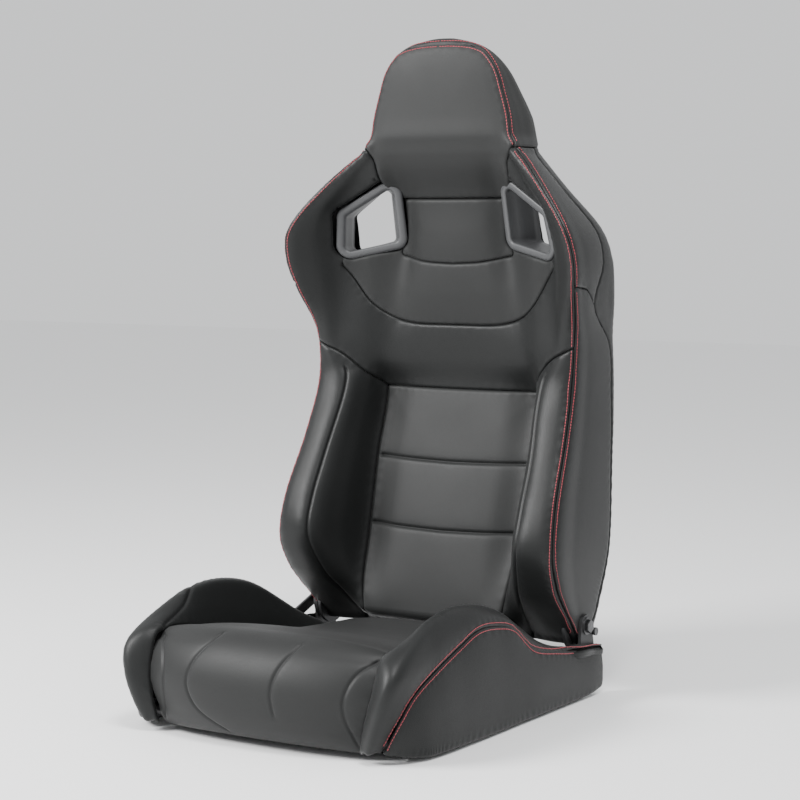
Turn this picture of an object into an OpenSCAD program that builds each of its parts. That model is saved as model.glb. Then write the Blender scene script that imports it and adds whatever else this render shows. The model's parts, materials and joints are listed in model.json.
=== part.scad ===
// Reclining sport seat: padded bucket backrest on a steel hoop, low cushioned base,
// side hinges with a round recliner cartridge and a release lever.
// X is the occupant's left, -Y is the way the seat faces, Z is up.
// The origin is the middle of the four floor mounting bosses, on their lower faces.

/* [Overall] */
// Width across the padded sides of the base
seat_w = 492; // [440:1:620]
// Height of the backrest from the hinge to the foot of the head pad
back_h = 714; // [580:1:870]
// Height of the head pad
head_h = 159; // [130:1:200]
// Depth of the base from nose to heel
base_d = 588; // [480:1:720]
// Half width of the shoulder crest beyond the half seat width
shoulder_out = 5; // [0:1:20]
// Height of the hinge line above the floor bosses
hinge_z = 107; // [95:1:130]
// Distance of the hinge line behind the origin
hinge_y = 239; // [230:1:250]

/* [Padding] */
// Half width of the flat back insert
insert_hw = 133; // [115:1:150]
// Gap between neighbouring pads, where the covers are sewn
seam_gap = 1; // [0.6:0.1:3]
// Thickness of the padded side skirt of the base
skirt_t = 8; // [6:1:12]
// Thickness of the padded side wall of the backrest
side_t = 9; // [6:1:12]
// Thickness of the rear cover
cover_t = 6; // [3:0.5:8]
// Height of the cushion above its springs, at the nose
nose_h = 111; // [90:1:140]
// Height of the cushion above its springs, at the heel
heel_h = 60; // [50:1:70]
// Height of the seat bolster above the cushion springs
bolster_h = 156; // [125:1:190]

/* [Harness slots] */
// Width of the trim ring around a harness slot
ring_w = 12; // [8:1:14]
// Thickness of the trim ring
ring_t = 5; // [3:0.5:8]
// Wall of the tunnel behind the ring
tunnel_t = 3; // [2:0.5:4]

/* [Frame] */
// Outer diameter of the frame tubes
tube_d = 22; // [18:0.5:25]
// Wall of the frame tubes
tube_t = 2; // [1.5:0.1:3]
// Radius of the tube bends
bend_r = 60; // [45:1:70]
// Clear space around a frame tube inside a pad
tube_gap = 2; // [1:0.5:3]
// Width of the rectangular base rails
rail_w = 25; // [20:1:30]
// Height of the rectangular base rails
rail_h = 30; // [24:1:34]
// Clearance of the rails above the floor
rail_lift = 4; // [3:0.5:6]
// Width of the cross members that carry the floor bosses
cross_w = 40; // [34:1:48]
// Wire diameter of the sinuous springs
wire_d = 4; // [3:0.5:5]

/* [Floor mounting] */
// Spacing of the floor bolts across the seat
mount_dx = 380; // [300:5:390]
// Spacing of the floor bolts along the seat
mount_dy = 340; // [280:5:360]
// Tapping hole diameter of the floor bosses
mount_hole_d = 6.8; // [5:0.1:8.5]
// Flange diameter of the floor bosses
boss_d = 24; // [20:1:30]

/* [Hinges] */
// Thickness of the hinge plates
plate_t = 5; // [4:0.5:6]
// Space between the bracket and the hinge arm
arm_gap = 12; // [11:0.5:14]
// Radius of the rounded top of a hinge bracket
bracket_r = 17; // [15:0.5:20]
// Diameter of the pivot shoulder
pivot_d = 12; // [10:0.5:14]
// Running clearance of the pivot in its bush, on the radius
run_gap = 0.05; // [0.02:0.01:0.08]
// Radius of the round eye of a hinge arm
eye_r = 38; // [34:1:40]
// Diameter of the stop pin
stop_d = 8; // [6:0.5:9]
// Radius from the hinge line to the stop pin
stop_r = 27.7; // [26:0.1:29]
// Angle of the stop pin below the rearward direction
stop_a = 25.6; // [20:0.1:30]
// Angle that the backrest can recline
recline_a = 45; // [30:1:50]
// Diameter of the recliner cartridge
recliner_d = 64; // [58:1:68]
// Diameter of the recliner hub
hub_d = 40; // [34:1:44]
// Diameter of the release shaft
shaft_d = 10; // [8:0.5:12]

/* [Release lever] */
// Length of the lever from its shaft to the end of the grip
lever_l = 190; // [150:1:230]
// Width of the lever bar
lever_w = 17; // [14:1:22]
// Angle of the lever below the forward direction
lever_a = 20; // [10:1:24]
// Length of the grip
grip_l = 85; // [60:1:100]

/* [Hidden] */
$fn = 48;

// ---- derived places -------------------------------------------------------------------------
half_w = seat_w / 2;
nose_y = hinge_y + 49 - base_d;          // front of the nose
heel_y = hinge_y + 49;                   // rear end of the base
skirt_in = half_w - skirt_t;             // inner face of the side skirts
plate_x = skirt_in - 1;                  // outer face of the hinge brackets
rail_x = plate_x - plate_t;              // outer face of the rails
rail_in = rail_x - rail_w;               // inner face of the rails
arm_x = rail_x - arm_gap;                // outer face of the hinge arms
rail_y0 = nose_y + 65;                   // front end of the rails
rail_y1 = hinge_y - 4;                   // rear end of the rails
rail_mid = (nose_y + 65 + rail_y1) / 2;  // the floor bolts are centred under the seat
tube_z = rail_lift + rail_h / 2;         // height of the base tubes
nose_tube_y = rail_y0 + tube_d / 2 + 2;
heel_tube_y = hinge_y - 32;
spring_z = tube_z + tube_d / 2 + wire_d / 2 + 0.3;
foam_z = rail_lift + rail_h + 3;         // underside of the seat foam
head_z = hinge_z + back_h;               // foot of the head pad
top_z = head_z + head_h;
leg_x = arm_x - plate_t - tube_d / 2;    // frame legs run inside the hinge arms
neck_x = 74;                             // hoop legs between the harness slots

// ---- curves ---------------------------------------------------------------------------------
// smooth curve through [place, value] keys
function seg(t, k, i = 0) = (i >= len(k) - 2 || t < k[i + 1][0]) ? i : seg(t, k, i + 1);
function rise(k, i) = i == 0 ? (k[1][1] - k[0][1]) / (k[1][0] - k[0][0])
    : i == len(k) - 1 ? (k[i][1] - k[i - 1][1]) / (k[i][0] - k[i - 1][0])
    : (k[i + 1][1] - k[i - 1][1]) / (k[i + 1][0] - k[i - 1][0]);
function blend(s, h, a, b, m, n) = (2 * s * s * s - 3 * s * s + 1) * a + (s * s * s - 2 * s * s + s) * h * m
    + (3 * s * s - 2 * s * s * s) * b + (s * s * s - s * s) * h * n;
function curve(t, k) = let (u = min(max(t, k[0][0]), k[len(k) - 1][0]), i = seg(u, k),
    h = k[i + 1][0] - k[i][0]) blend((u - k[i][0]) / h, h, k[i][1], k[i + 1][1], rise(k, i), rise(k, i +
        1));
function mix(a, b, s) = a + (b - a) * s;

// closed solid through rings of equal length, whichever way round the rings run
function six_volume(p, faces) = let (v = [for (f = faces) for (i = [1 : len(f) - 2]) cross(p[f[0]],
    p[f[i]]) * p[f[i + 1]]])
    v * [for (x = v) 1];
module skin(rings, loop = false) {
    n = len(rings[0]);
    m = len(rings);
    pts = [for (r = rings) for (p = r) p];
    sides = [for (i = [0 : m - (loop ? 1 : 2)]) for (j = [0 : n - 1])
        let (a = i * n + j, b = i * n + (j + 1) % n, c = ((i + 1) % m) * n + (j + 1) % n,
            d = ((i + 1) % m) * n + j) for (f = [[a, b, c], [a, c, d]]) f];
    ends = loop ? [] : [[for (j = [n - 1 : -1 : 0]) j], [for (j = [0 : n - 1]) (m - 1) * n + j]];
    faces = concat(sides, ends);
    polyhedron(pts, six_volume(pts, faces) < 0 ? faces : [for (f = faces) [for (i = [len(f) - 1 : -1 : 0])
        f[i]]],
        convexity = 6);
}
// a half section, given from the middle outwards and back, with its mirror image
function whole(h) = concat(h, [for (i = [len(h) - 2 : -1 : 1]) [-h[i][0], h[i][1], h[i][2]]]);

// ---- backrest shape, u runs from 0 at the hinge line to 1 at the foot of the head pad --------
function bz(u) = hinge_z + u * back_h;
crest_x = [[-0.03, -18], [0.02, -15], [0.16, -6], [0.38, -17], [0.5, -22], [0.6, -18], [0.69, -3],
    [0.76, shoulder_out], [0.825, -5], [0.91, -52], [1, -116]];
crest_y = [[-0.03, -10], [0.02, -44], [0.06, -74], [0.094, -95], [0.157, -114], [0.25, -102],
    [0.38, -57], [0.496, -27], [0.605, -27], [0.697, -61], [0.762, -78], [0.825, -86], [0.91, -67], [1,
        -30]];
fall_x = [[-0.03, 148], [0.03, 158], [0.085, 171], [0.17, 183], [0.33, 182], [0.5, 173], [0.56, 190],
    [0.74, 187], [0.85, 184], [0.923, 150], [1, 108]];
fall_y = [[-0.03, -4], [0.026, -48], [0.085, -92], [0.17, -120], [0.25, -104], [0.33, -76], [0.41, -50],
    [0.51, -22], [0.56, -23], [0.63, -16], [0.745, -17], [0.85, -41], [0.923, -38], [1, -34]];
edge_x = [[-0.03, 120], [0.09, 128], [0.2, 133], [0.5, 132], [0.62, 114], [0.78, 94], [0.89, 88], [1, 90]];
edge_y = [[-0.03, -8], [0, -57], [0.18, -20], [0.33, 6], [0.47, 34], [0.54, 15], [0.62, 14], [0.78, 19],
    [0.886, 8], [0.923, -8], [0.965, -29], [1, -36]];
front_y = [[-0.03, -14], [-0.015, -45], [0, -60], [0.48, 31], [0.54, 27], [0.62, 17], [0.75, 6],
    [0.886, 0], [0.923, -13], [0.965, -31], [1, -37]];
foam_y = [[-0.03, 6], [0.01, -12], [0.48, 77], [0.62, 56], [0.75, 42], [0.89, 27], [0.94, 25], [1, 15]];
pocket_y = [[-0.03, -2], [0.02, -34], [0.48, 38], [0.62, 33], [0.75, 17], [0.825, 1], [0.89, -17], [1, -9]];
side_y = [[-0.03, 14], [0.02, 46], [0.27, 84], [0.48, 106], [0.585, 92], [0.665, 20], [0.75, 23], [0.82,
    16],
    [0.88, 2], [0.93, -2], [1, 12]];
corner_y = [[-0.03, 44], [0.02, 61], [0.27, 96], [0.48, 124], [0.6, 112], [0.75, 66], [0.825, 45],
    [0.91, 23], [1, 36]];
rear_y = [[-0.03, 58], [0.02, 76], [0.27, 112], [0.48, 134], [0.59, 128], [0.76, 89], [0.91, 63], [1, 64]];

function cx(u) = half_w + curve(u, crest_x);
function cy(u) = hinge_y + curve(u, crest_y);
function ex(u) = insert_hw / 133 * curve(u, edge_x);
function fx(u) = min(curve(u, fall_x) * half_w / 246, cx(u) - 12);
function sy(u) = hinge_y + curve(u, side_y);
function py(u) = hinge_y + curve(u, pocket_y);
function fy(u) = hinge_y + curve(u, foam_y);
function front(u) = hinge_y + curve(u, front_y);
function corner(u) = max(hinge_y + curve(u, corner_y), sy(u) + 8);

function foam_ring(u) = let (z = bz(u), e = ex(u), c = cx(u), f = fx(u),
    ye = hinge_y + curve(u, edge_y), yf = hinge_y + curve(u, fall_y), w = c - 2)
    whole([[0, front(u), z], [0.6 * e, mix(front(u), ye, 0.3), z], [e, ye, z],
    [mix(e, f, 0.5), mix(ye, yf, 0.55), z], [f, yf, z], [mix(f, c, 0.5), mix(yf, cy(u), 0.5) - 4, z],
    [c, cy(u), z], [c + 1, mix(cy(u), sy(u), 0.35), z], [c, mix(cy(u), sy(u), 0.75), z], [w, sy(u), z],
    [w - side_t, sy(u), z], [w - side_t, py(u), z], [min(e + 8, w - side_t - 6), py(u), z],
    [min(e, w - side_t - 12), fy(u), z], [0, fy(u), z]]);
// the padding and the cover meet edge to edge, so they share their levels
levels = [for (i = [0 : 26]) mix(-0.03, 1, i / 26)];
module back_foam() skin([for (u = levels) foam_ring(u)]);

function cover_half(u, t, g) = let (z = bz(u), w = cx(u) - 2 - t, s = sy(u) + g, c = corner(u) - t,
    r = hinge_y + curve(u, rear_y) - t)
    [[w, s, z], [w - 2, mix(s, c, 0.6), z], [w - 7, c, z], [0.66 * w, mix(c, r, 0.55), z],
    [0.33 * w, mix(c, r, 0.9), z], [0, r, z]];
function cover_ring(u) = let (o = cover_half(u, 0, seam_gap), n = cover_half(u, cover_t, seam_gap))
    concat(o, [for (i = [4 : -1 : 0]) [-o[i][0], o[i][1], o[i][2]]],
    [for (i = [0 : 5]) [-n[i][0], n[i][1], n[i][2]]], [for (i = [4 : -1 : 0]) n[i]]);

// flat regions in X and Z that part the padding, grown by e
module slab(e = 0) translate([0, hinge_y + 200, 0]) rotate([90, 0, 0]) linear_extrude(500)
    offset(delta = e) children();
function arc_pts(hw, z0, up, p, n = 8) = [for (i = [-n : n]) [hw * i / n, z0 + up * pow(abs(i / n), p)]];
neck_z0 = bz(0.749);
neck_z1 = bz(0.887);
yoke_z = bz(0.618);
lap_z = bz(0.48);
module head_area() polygon([[-88, neck_z1], [-111, bz(0.92)], [-116, bz(0.963)], [-128, head_z],
    [-128, top_z + 9], [128, top_z + 9], [128, head_z], [116, bz(0.963)], [111, bz(0.92)], [88, neck_z1]]);
module neck_area() polygon(concat(arc_pts(98, neck_z0, 13, 2, 5), [[88, neck_z1], [-88, neck_z1]]));
module yoke_area() polygon(concat(arc_pts(186, yoke_z, 90, 3.9), [[186, neck_z0 + 13], [-186, neck_z0 +
    13]]));
module insert_area() polygon(concat([for (i = [0 : 8]) let (u = mix(-0.06, 0.469, i / 8)) [ex(u), bz(u)]],
    [[0, lap_z]], [for (i = [8 : -1 : 0]) let (u = mix(-0.06, 0.469, i / 8)) [-ex(u), bz(u)]]));
module bolster_area(e) slab(e) polygon(concat([for (i = [0 : 8]) let (u = mix(-0.06, 0.469, i / 8))
    [ex(u), bz(u)]],
    [[fx(0.5) - 2, bz(0.538)], [190, bz(0.557)], [half_w - 20, bz(0.59)], [half_w + 30, bz(0.6)],
    [half_w + 30, bz(-0.06)]]));

// harness slot outline: four rounded corners in X and Z, o is the distance outside the opening
slot_c = [[107, bz(0.895)], [167, bz(0.843)], [173, bz(0.786)], [108, bz(0.806)]];
slot_r = 8;
slot_a = [[60, 165], [0, 60], [-105, 0], [-180, -105]];
function slot_outline(o, dx) = [for (i = [0 : 3]) for (j = [0 : 4]) let (a = mix(slot_a[i][1],
    slot_a[i][0], j / 4))
    [slot_c[i][0] + dx * (i == 1 || i == 2 ? 1 : 1.6) + (slot_r + o) * cos(a), slot_c[i][1] + (slot_r + o)
        * sin(a)]];
function slot_front(x, z) = hinge_y + 17 - 0.42 * (x - 94) - 0.24 * (z - bz(0.78));
function slot_rear(x, z) = hinge_y + 62 - 0.24 * (x - 94) - 0.22 * (z - bz(0.78));
slot_shift = 18;                         // the tunnel leans outwards towards the rear
module slot_solid(o) skin([[for (p = slot_outline(o, 0)) [p[0], slot_front(p[0], p[1]) - 60, p[1]]],
    [for (p = slot_outline(o, 0)) [p[0], slot_front(p[0], p[1]), p[1]]],
    [for (p = slot_outline(o, slot_shift)) [p[0], slot_rear(p[0], p[1]), p[1]]],
    [for (p = slot_outline(o, slot_shift)) [p[0], slot_rear(p[0], p[1]) + 60, p[1]]]]);
module slot_seat() skin([for (d = [-60, ring_t + 0.5]) [for (p = slot_outline(ring_w + seam_gap / 2, 0))
    [p[0], slot_front(p[0], p[1]) + d, p[1]]]]);
slot_room = 4.5;                         // foam cut back from the leaning tunnel
module slots() for (s = [0, 1]) mirror([s, 0, 0]) { slot_solid(tunnel_t + seam_gap / 2 + slot_room); slot_seat(); }
module rear_slots() for (s = [0, 1]) mirror([s, 0, 0]) {
    slot_solid(tunnel_t + seam_gap / 2);
    skin([for (d = [0, 60]) [for (p = slot_outline(ring_w - 3 + seam_gap / 2, slot_shift))
        [p[0], slot_rear(p[0], p[1]) + d, p[1]]]]);
}
module hinge_room() rotate([0, 90, 0]) translate([-hinge_z, hinge_y, 0])
    for (s = [-1, 1]) translate([0, 0, s * (arm_x + 18) - 32]) cylinder(r = eye_r + 3, h = 64);
// every padded piece is one closed mesh
module leather() color([0.1, 0.1, 0.105]) resize([0, 0, 0]) children();
module steel() color([0.2, 0.2, 0.21]) children();
module zinc() color([0.6, 0.6, 0.62]) children();

// ---- tubes ----------------------------------------------------------------------------------
function unit(v) = v / norm(v);
module stick(a, b, d) { v = b - a; translate(a) rotate([0, acos(v[2] / norm(v)), atan2(v[1], v[0])])
    cylinder(d = d, h = norm(v)); }
function set_back(p, i, r) = (i == 0 || i == len(p) - 1) ? 0
    : r * tan(acos(unit(p[i] - p[i - 1]) * unit(p[i + 1] - p[i])) / 2);
// the centre line of a bent tube: each corner becomes a round bend of n steps
function bends(p, r, n = 5) = concat([p[0]], [for (i = [1 : len(p) - 2]) let (b = set_back(p, i, r),
    a = p[i] - b * unit(p[i] - p[i - 1]), c = p[i] + b * unit(p[i + 1] - p[i]))
    for (k = [0 : n]) let (s = k / n) (1 - s) * (1 - s) * a + 2 * s * (1 - s) * p[i] + s * s * c],
        [p[len(p) - 1]]);
// tube along a bent line that never runs along Y
module bent(p, r, d, sides = 12) {
    q = bends(p, r);
    skin([for (i = [0 : len(q) - 1]) let (t = unit(q[min(i + 1, len(q) - 1)] - q[max(i - 1, 0)]),
        e = unit(cross(t, [0, 1, 0])), f = cross(e, t))
        [for (k = [0 : sides - 1]) let (a = 360 * k / sides) q[i] + d / 2 * (cos(a) * e + sin(a) * f)]]);
}
leg_y0 = hinge_y - 5;
leg_y1 = hinge_y + 62;
leg_z1 = bz(0.55);
hoop_half = [[leg_x, leg_y0, hinge_z + 43], [leg_x - 6, leg_y1, leg_z1], [neck_x, hinge_y + 63, bz(0.73)],
    [neck_x, hinge_y + 40, bz(0.9)], [neck_x, hinge_y + 5, top_z - 50]];
hoop_path = concat(hoop_half, [for (i = [4 : -1 : 0]) [-hoop_half[i][0], hoop_half[i][1],
    hoop_half[i][2]]]);
function leg_y(z) = leg_y0 + (leg_y1 - leg_y0) * (z - hinge_z - 43) / (leg_z1 - hinge_z - 43);

// ---- backrest -------------------------------------------------------------------------------
module pad_shell() difference() { back_foam(); slots(); hinge_room(); }
head_keys = [[0, 126, -37, 74], [0.1, 124, -36, 71], [0.25, 121, -35, 64], [0.5, 110, -35, 40], [0.7, 99,
    -35, 19],
    [0.85, 81, -34, 3], [0.93, 62, -32, -8], [0.98, 36, -26, -14], [1, 18, -23, -17]];
function head_ring(k) = let (z = head_z + k[0] * head_h, w = k[1], f = hinge_y + k[2], r = hinge_y + k[3],
    d = r - f)
    whole([[0, f - 4, z], [0.7 * w, f - 2, z], [w - 4, f, z], [w, f + 0.1 * d, z], [w, r - 0.35 * d, z],
    [0.86 * w, r - 0.1 * d, z], [0.6 * w, r, z], [0, r + 3, z]]);
module head_pad() leather() difference() {
    union() {
        intersection() { pad_shell(); slab(-seam_gap / 2) head_area(); }
        skin([for (k = head_keys) head_ring(k)]);
    }
    bent(hoop_path, bend_r, tube_d + 2 * tube_gap);
    translate([-neck_x, hinge_y, 0]) plate_block(2);
}
module neck_pad() leather() intersection() { pad_shell(); slab(-seam_gap / 2) neck_area(); }
module yoke_pad() leather() difference() {
    intersection() { pad_shell(); slab(-seam_gap / 2) yoke_area(); }
    slab(seam_gap / 2) neck_area();
}
module chest_pad() leather() difference() {
    intersection() { pad_shell(); translate([-500, 0, lap_z - 20]) cube([1000, 500, head_z - lap_z + 19]); }
    slab(seam_gap / 2) head_area();
    slab(seam_gap / 2) neck_area();
    slab(seam_gap / 2) yoke_area();
    slab(seam_gap / 2) insert_area();
    bolster_area(seam_gap / 2);
    mirror([1, 0, 0]) bolster_area(seam_gap / 2);
}
module back_insert() leather() intersection() { pad_shell(); slab(-seam_gap / 2) insert_area(); }
module back_bolster() leather() intersection() { pad_shell(); bolster_area(-seam_gap / 2); }
module back_bolster_left() back_bolster();
module back_bolster_right() mirror([1, 0, 0]) back_bolster();
module back_cover() leather() difference() {
    skin([for (u = levels) cover_ring(u)]);
    rear_slots();
    hinge_room();
}
// trim ring with its tunnel, one closed sweep round the slot
module bezel_front() color([0.3, 0.3, 0.31]) let (a = slot_outline(ring_w, 0), b = slot_outline(0, 0),
    c = slot_outline(0, slot_shift), d = slot_outline(tunnel_t, slot_shift), e = slot_outline(tunnel_t, 0))
    skin([for (i = [0 : len(a) - 1]) [
        [a[i][0], slot_front(a[i][0], a[i][1]), a[i][1]], [b[i][0], slot_front(b[i][0], b[i][1]) - 1,
            b[i][1]],
        [c[i][0], slot_rear(c[i][0], c[i][1]), c[i][1]], [d[i][0], slot_rear(d[i][0], d[i][1]), d[i][1]],
        [e[i][0], slot_front(e[i][0], e[i][1]) + ring_t, e[i][1]],
        [a[i][0], slot_front(a[i][0], a[i][1]) + ring_t, a[i][1]]]], loop = true);
module bezel_rear() color([0.3, 0.3, 0.31]) let (a = slot_outline(ring_w - 3, slot_shift),
    b = slot_outline(0, slot_shift))
    skin([for (i = [0 : len(a) - 1]) [for (q = [[a, 4], [a, 0.3], [b, 0.3], [b, 4]])
        let (p = q[0][i]) [p[0], slot_rear(p[0], p[1]) + q[1], p[1]]]], loop = true);
module slot_bezel_front_left() bezel_front();
module slot_bezel_front_right() mirror([1, 0, 0]) bezel_front();
module slot_bezel_rear_left() bezel_rear();
module slot_bezel_rear_right() mirror([1, 0, 0]) bezel_rear();

module back_hoop() steel() bent(hoop_path, bend_r, tube_d);
module plate_block(g) translate([tube_d / 2 + 1 - g, 0, head_z + 5 - g])
    rotate([atan(35 / (top_z - 50 - bz(0.9))), 0, 0]) translate([0, 27 - g, 0])
    cube([2 * neck_x - tube_d - 2 + 2 * g, 2 + 2 * g, 60 + 2 * g]);
module head_plate() steel() translate([-neck_x, hinge_y, 0]) plate_block(0);
// wire that carries the shoulder around the outside of a harness slot
module shoulder_wire() steel() bent([[leg_x - 8, hinge_y + 46, bz(0.6)], [leg_x + 6, hinge_y + 34, bz(0.7)],
    [half_w - 28, hinge_y + 20, bz(0.78)], [half_w - 45, hinge_y - 4, bz(0.87)],
    [130, hinge_y + 2, bz(0.945)]], 12, 6, 8);
module shoulder_wire_left() shoulder_wire();
module shoulder_wire_right() mirror([1, 0, 0]) shoulder_wire();
// bowed behind the insert, with its ends on the hoop legs
upper_u = 0.44;                          // height of the upper tube on the backrest
module back_upper_tube() steel() let (z = bz(upper_u), y = leg_y(z), x = leg_x - 6 - tube_d / 2,
    b = fy(upper_u) + tube_d / 2 + 3)
    bent([[-x, y, z], [-x + 14, y, z], [-x + 44, b, z], [x - 44, b, z], [x - 14, y, z], [x, y, z]], 12,
        tube_d - 6);
module back_lower_tube() steel() let (y = hinge_y + 31, z = hinge_z + 22)
    stick([-arm_x + plate_t, y, z], [arm_x - plate_t, y, z], tube_d);

// sinuous wire along +X, centred on y = 0, with n waves and rounded turns
function turn(x, y, r, up) = [for (k = [0 : 5]) let (a = 180 - 36 * k) [x + r * cos(a), y + (up ? 1 : -1)
    * r * sin(a), 0]];
module sinuous(l, n, w) {
    p = l / n / 2;
    q = concat([[0, 0, 0]], [for (i = [0 : 2 * n - 1]) for (v = turn(p * (i + 0.5), (i % 2 == 0 ? 1 : -1)
        * (w - p) / 2, p / 2, i % 2 == 0)) v],
        [[l, 0, 0]]);
    skin([for (i = [0 : len(q) - 1]) let (t = unit(q[min(i + 1, len(q) - 1)] - q[max(i - 1, 0)]),
        e = [t[1], -t[0], 0])
        [for (k = [0 : 7]) let (a = 45 * k + 22.5) q[i] + wire_d / 2 * (cos(a) * e + [0, 0, sin(a)])]]);
}
lumbar_u = [0.16, 0.27, 0.38];
function foam_tilt(u) = atan((fy(u + 0.03) - fy(u - 0.03)) / (0.06 * back_h));
module lumbar_springs() zinc() for (u = lumbar_u) translate([-leg_x + 15, fy(u) + wire_d / 2 + 2.5, bz(u)])
    rotate([90 - foam_tilt(u), 0, 0]) sinuous(2 * leg_x - 30, 7, 40);
module lumbar_clips() zinc() for (u = lumbar_u) for (s = [-1, 1])
    translate([s * (leg_x - 7) - 4, leg_y(bz(u)) + tube_d / 2 + 1, bz(u) - 26]) cube([8, 4, 12]);

module hinge_plate(r) linear_extrude(plate_t) difference() {
    union() {
        translate([hinge_y, hinge_z]) circle(r = r, $fn = 64);
        polygon([[hinge_y - r * 0.6, hinge_z + r * 0.8], [hinge_y + r, hinge_z],
            [leg_y(hinge_z + 220) + 14, hinge_z + 220], [leg_y(hinge_z + 220) - 14, hinge_z + 220]]);
    }
    children();
}
module side_plate(x) translate([x, 0, 0]) rotate([90, 0, 90]) children();
module hinge_eye(d) translate([hinge_y, hinge_z]) circle(d = d, $fn = 64);
module hinge_arm_left() steel() side_plate(arm_x - plate_t) hinge_plate(eye_r) {
    hinge_eye(pivot_d + 6);
    stop_slot();
}
// arc slot that the stop pin runs in as the backrest reclines
module stop_slot() {
    w = stop_d + 0.8;
    n = 12;
    angles = [for (i = [0 : n]) mix(-stop_a - 0.8, recline_a - stop_a + 0.8, i / n)];
    around = function (r, a) [hinge_y + r * cos(a), hinge_z + r * sin(a)];
    polygon(concat([for (a = angles) around(stop_r + w / 2, a)],
        [for (i = [n : -1 : 0]) around(stop_r - w / 2, angles[i])]));
    for (a = [angles[0], angles[n]]) translate(around(stop_r, a)) circle(d = w);
}
module hinge_arm_right() steel() side_plate(-arm_x) hinge_plate(eye_r) hinge_eye(shaft_d + 2);
module tube_x(x0, x1, od, id) translate([x0, hinge_y, hinge_z]) rotate([0, 90, 0]) difference() {
    cylinder(d = od, h = x1 - x0, $fn = 64);
    translate([0, 0, -1]) cylinder(d = id, h = x1 - x0 + 2, $fn = 64);
}
module pivot_bush() color([0.7, 0.55, 0.3]) {
    tube_x(arm_x - plate_t, arm_x, pivot_d + 6, pivot_d + 2 * run_gap);
    tube_x(arm_x, rail_x - 0.5, pivot_d + 12, pivot_d + 2 * run_gap);
}
rotor_t = 5;
module recliner_rotor() zinc() {
    tube_x(-arm_x - rotor_t, -arm_x, recliner_d - 8, shaft_d + 2);
    tube_x(-rail_x + 2, -arm_x - rotor_t, hub_d, shaft_d + 2);
}
module recliner_housing() steel() tube_x(-rail_x, -arm_x - rotor_t - 0.5, recliner_d, hub_d + 2 * run_gap);

// ---- base -----------------------------------------------------------------------------------
function by(t) = heel_y - t * base_d;    // t runs from 0 at the heel to 1 at the nose
seam_x = [[0.15, 161], [0.36, 170], [0.65, 177], [0.88, 182], [0.95, 172], [0.98, 150], [1, 100]];
top_c = [[0.13, -0.72], [0.165, -0.15], [0.19, 0], [0.45, 0.18], [0.65, 0.56], [0.78, 0.88], [0.9, 1],
    [0.96, 0.9], [0.985, 0.65], [1, 0.2]];
function cushion_top(t) = let (s = curve(t, top_c)) foam_z + (s < 0 ? heel_h * (1 + s) : mix(heel_h,
    nose_h, s));
function nose_low(t) = t < 0.935 ? foam_z : curve(t, [[0.935, 4], [0.96, 4], [0.985, 14], [1, 48]]);
function side_x(t) = half_w * curve(t, [[0, 1], [0.82, 0.99], [0.89, 0.955], [0.93, 0.9], [0.96, 0.78],
    [1, 0.6]]);
function sx(t) = half_w / 246 * curve(t, seam_x);
cushion_t = [0.155, 0.165, 0.2, 0.26, 0.33, 0.4, 0.47, 0.54, 0.61, 0.68, 0.75, 0.82, 0.88, 0.92, 0.934,
    0.936,
    0.95, 0.96, 0.97, 0.98, 0.992, 1];
module seat_cushion() leather() difference() {
    skin([for (t = cushion_t) let (y = by(t), x = sx(t) - seam_gap / 2, z1 = cushion_top(t),
        z0 = nose_low(t))
        whole([[0, y, z1 + 2], [0.6 * x, y, z1 + 1], [0.93 * x, y, z1 - 5], [x, y, mix(z0, z1, 0.8)],
        [x, y, mix(z0, z1, 0.2)], [0.93 * x, y, z0], [0, y, z0]])]);
    stick([-rail_in, nose_tube_y, tube_z], [rail_in, nose_tube_y, tube_z], tube_d + 2 * tube_gap, $fn = 24);
}
bolster_top = [[0, -0.25], [0.14, -0.02], [0.22, 0.1], [0.33, 0.42], [0.45, 0.75], [0.57, 0.92], [0.68, 1],
    [0.78, 0.98], [0.88, 0.82], [0.94, 0.64], [0.97, 0.45]];
seam_top = [[0, -0.28], [0.07, 0], [0.26, 0.26], [0.37, 0.45], [0.46, 0.72], [0.55, 0.84], [0.65, 0.83],
    [0.7, 0.72], [0.79, 0.55], [0.9, 0.4], [0.95, 0.3], [0.97, 0.22]];
function lift(t, k) = foam_z + 38 + (bolster_h - 38) * curve(t, k);
function skirt_low(t) = curve(t, [[0, 6], [0.03, 2], [0.7, 2], [0.87, 7], [0.94, 20], [0.97, 40]]);
function inner_x(t) = t < 0.17 ? skirt_in : t < 0.2 ? mix(skirt_in, sx(t), (t - 0.17) / 0.03) : sx(t);
bolster_t = [0, 0.02, 0.07, 0.13, 0.169, 0.2, 0.26, 0.33, 0.4, 0.47, 0.54, 0.61, 0.68, 0.75, 0.82, 0.88,
    0.92, 0.934, 0.95,
    0.96, 0.97];
module seat_bolster() leather() difference() {
    skin([for (t = bolster_t) let (y = by(t), xi = inner_x(t) + seam_gap / 2, xo = side_x(t),
        zi = min(cushion_top(t), lift(t, bolster_top) - 2),
        zt = lift(t, bolster_top), zs = min(lift(t, seam_top), zt - 1), z0 = skirt_low(t),
            xk = max(xo - skirt_t, xi + 1), zc = t < 0.17 ? zs - 3 : zi)
        [[xi, y, min(foam_z, zs - 2)], [xi, y, min(zc, zs - 1)], [mix(xi, xo, 0.2), y, mix(min(zc,
            zs - 1), zt, 0.6)], [mix(xi, xo, 0.45), y, zt],
        [mix(xi, xo, 0.65), y, mix(zt, zs, 0.2)], [mix(xi, xo, 0.8), y, zs], [mix(xi, xo, 0.94), y,
            mix(zs, z0, 0.25)],
        [xo, y, mix(zs, z0, 0.6)], [xo - 1, y, z0], [xk, y, z0], [xk, y, min(foam_z, zs - 2) - 0.2]]]);
    translate([rail_in - 1, rail_y0 - 2, 0]) cube([skirt_in - rail_in + 1, 1000, foam_z - 0.5]);
}
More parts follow.
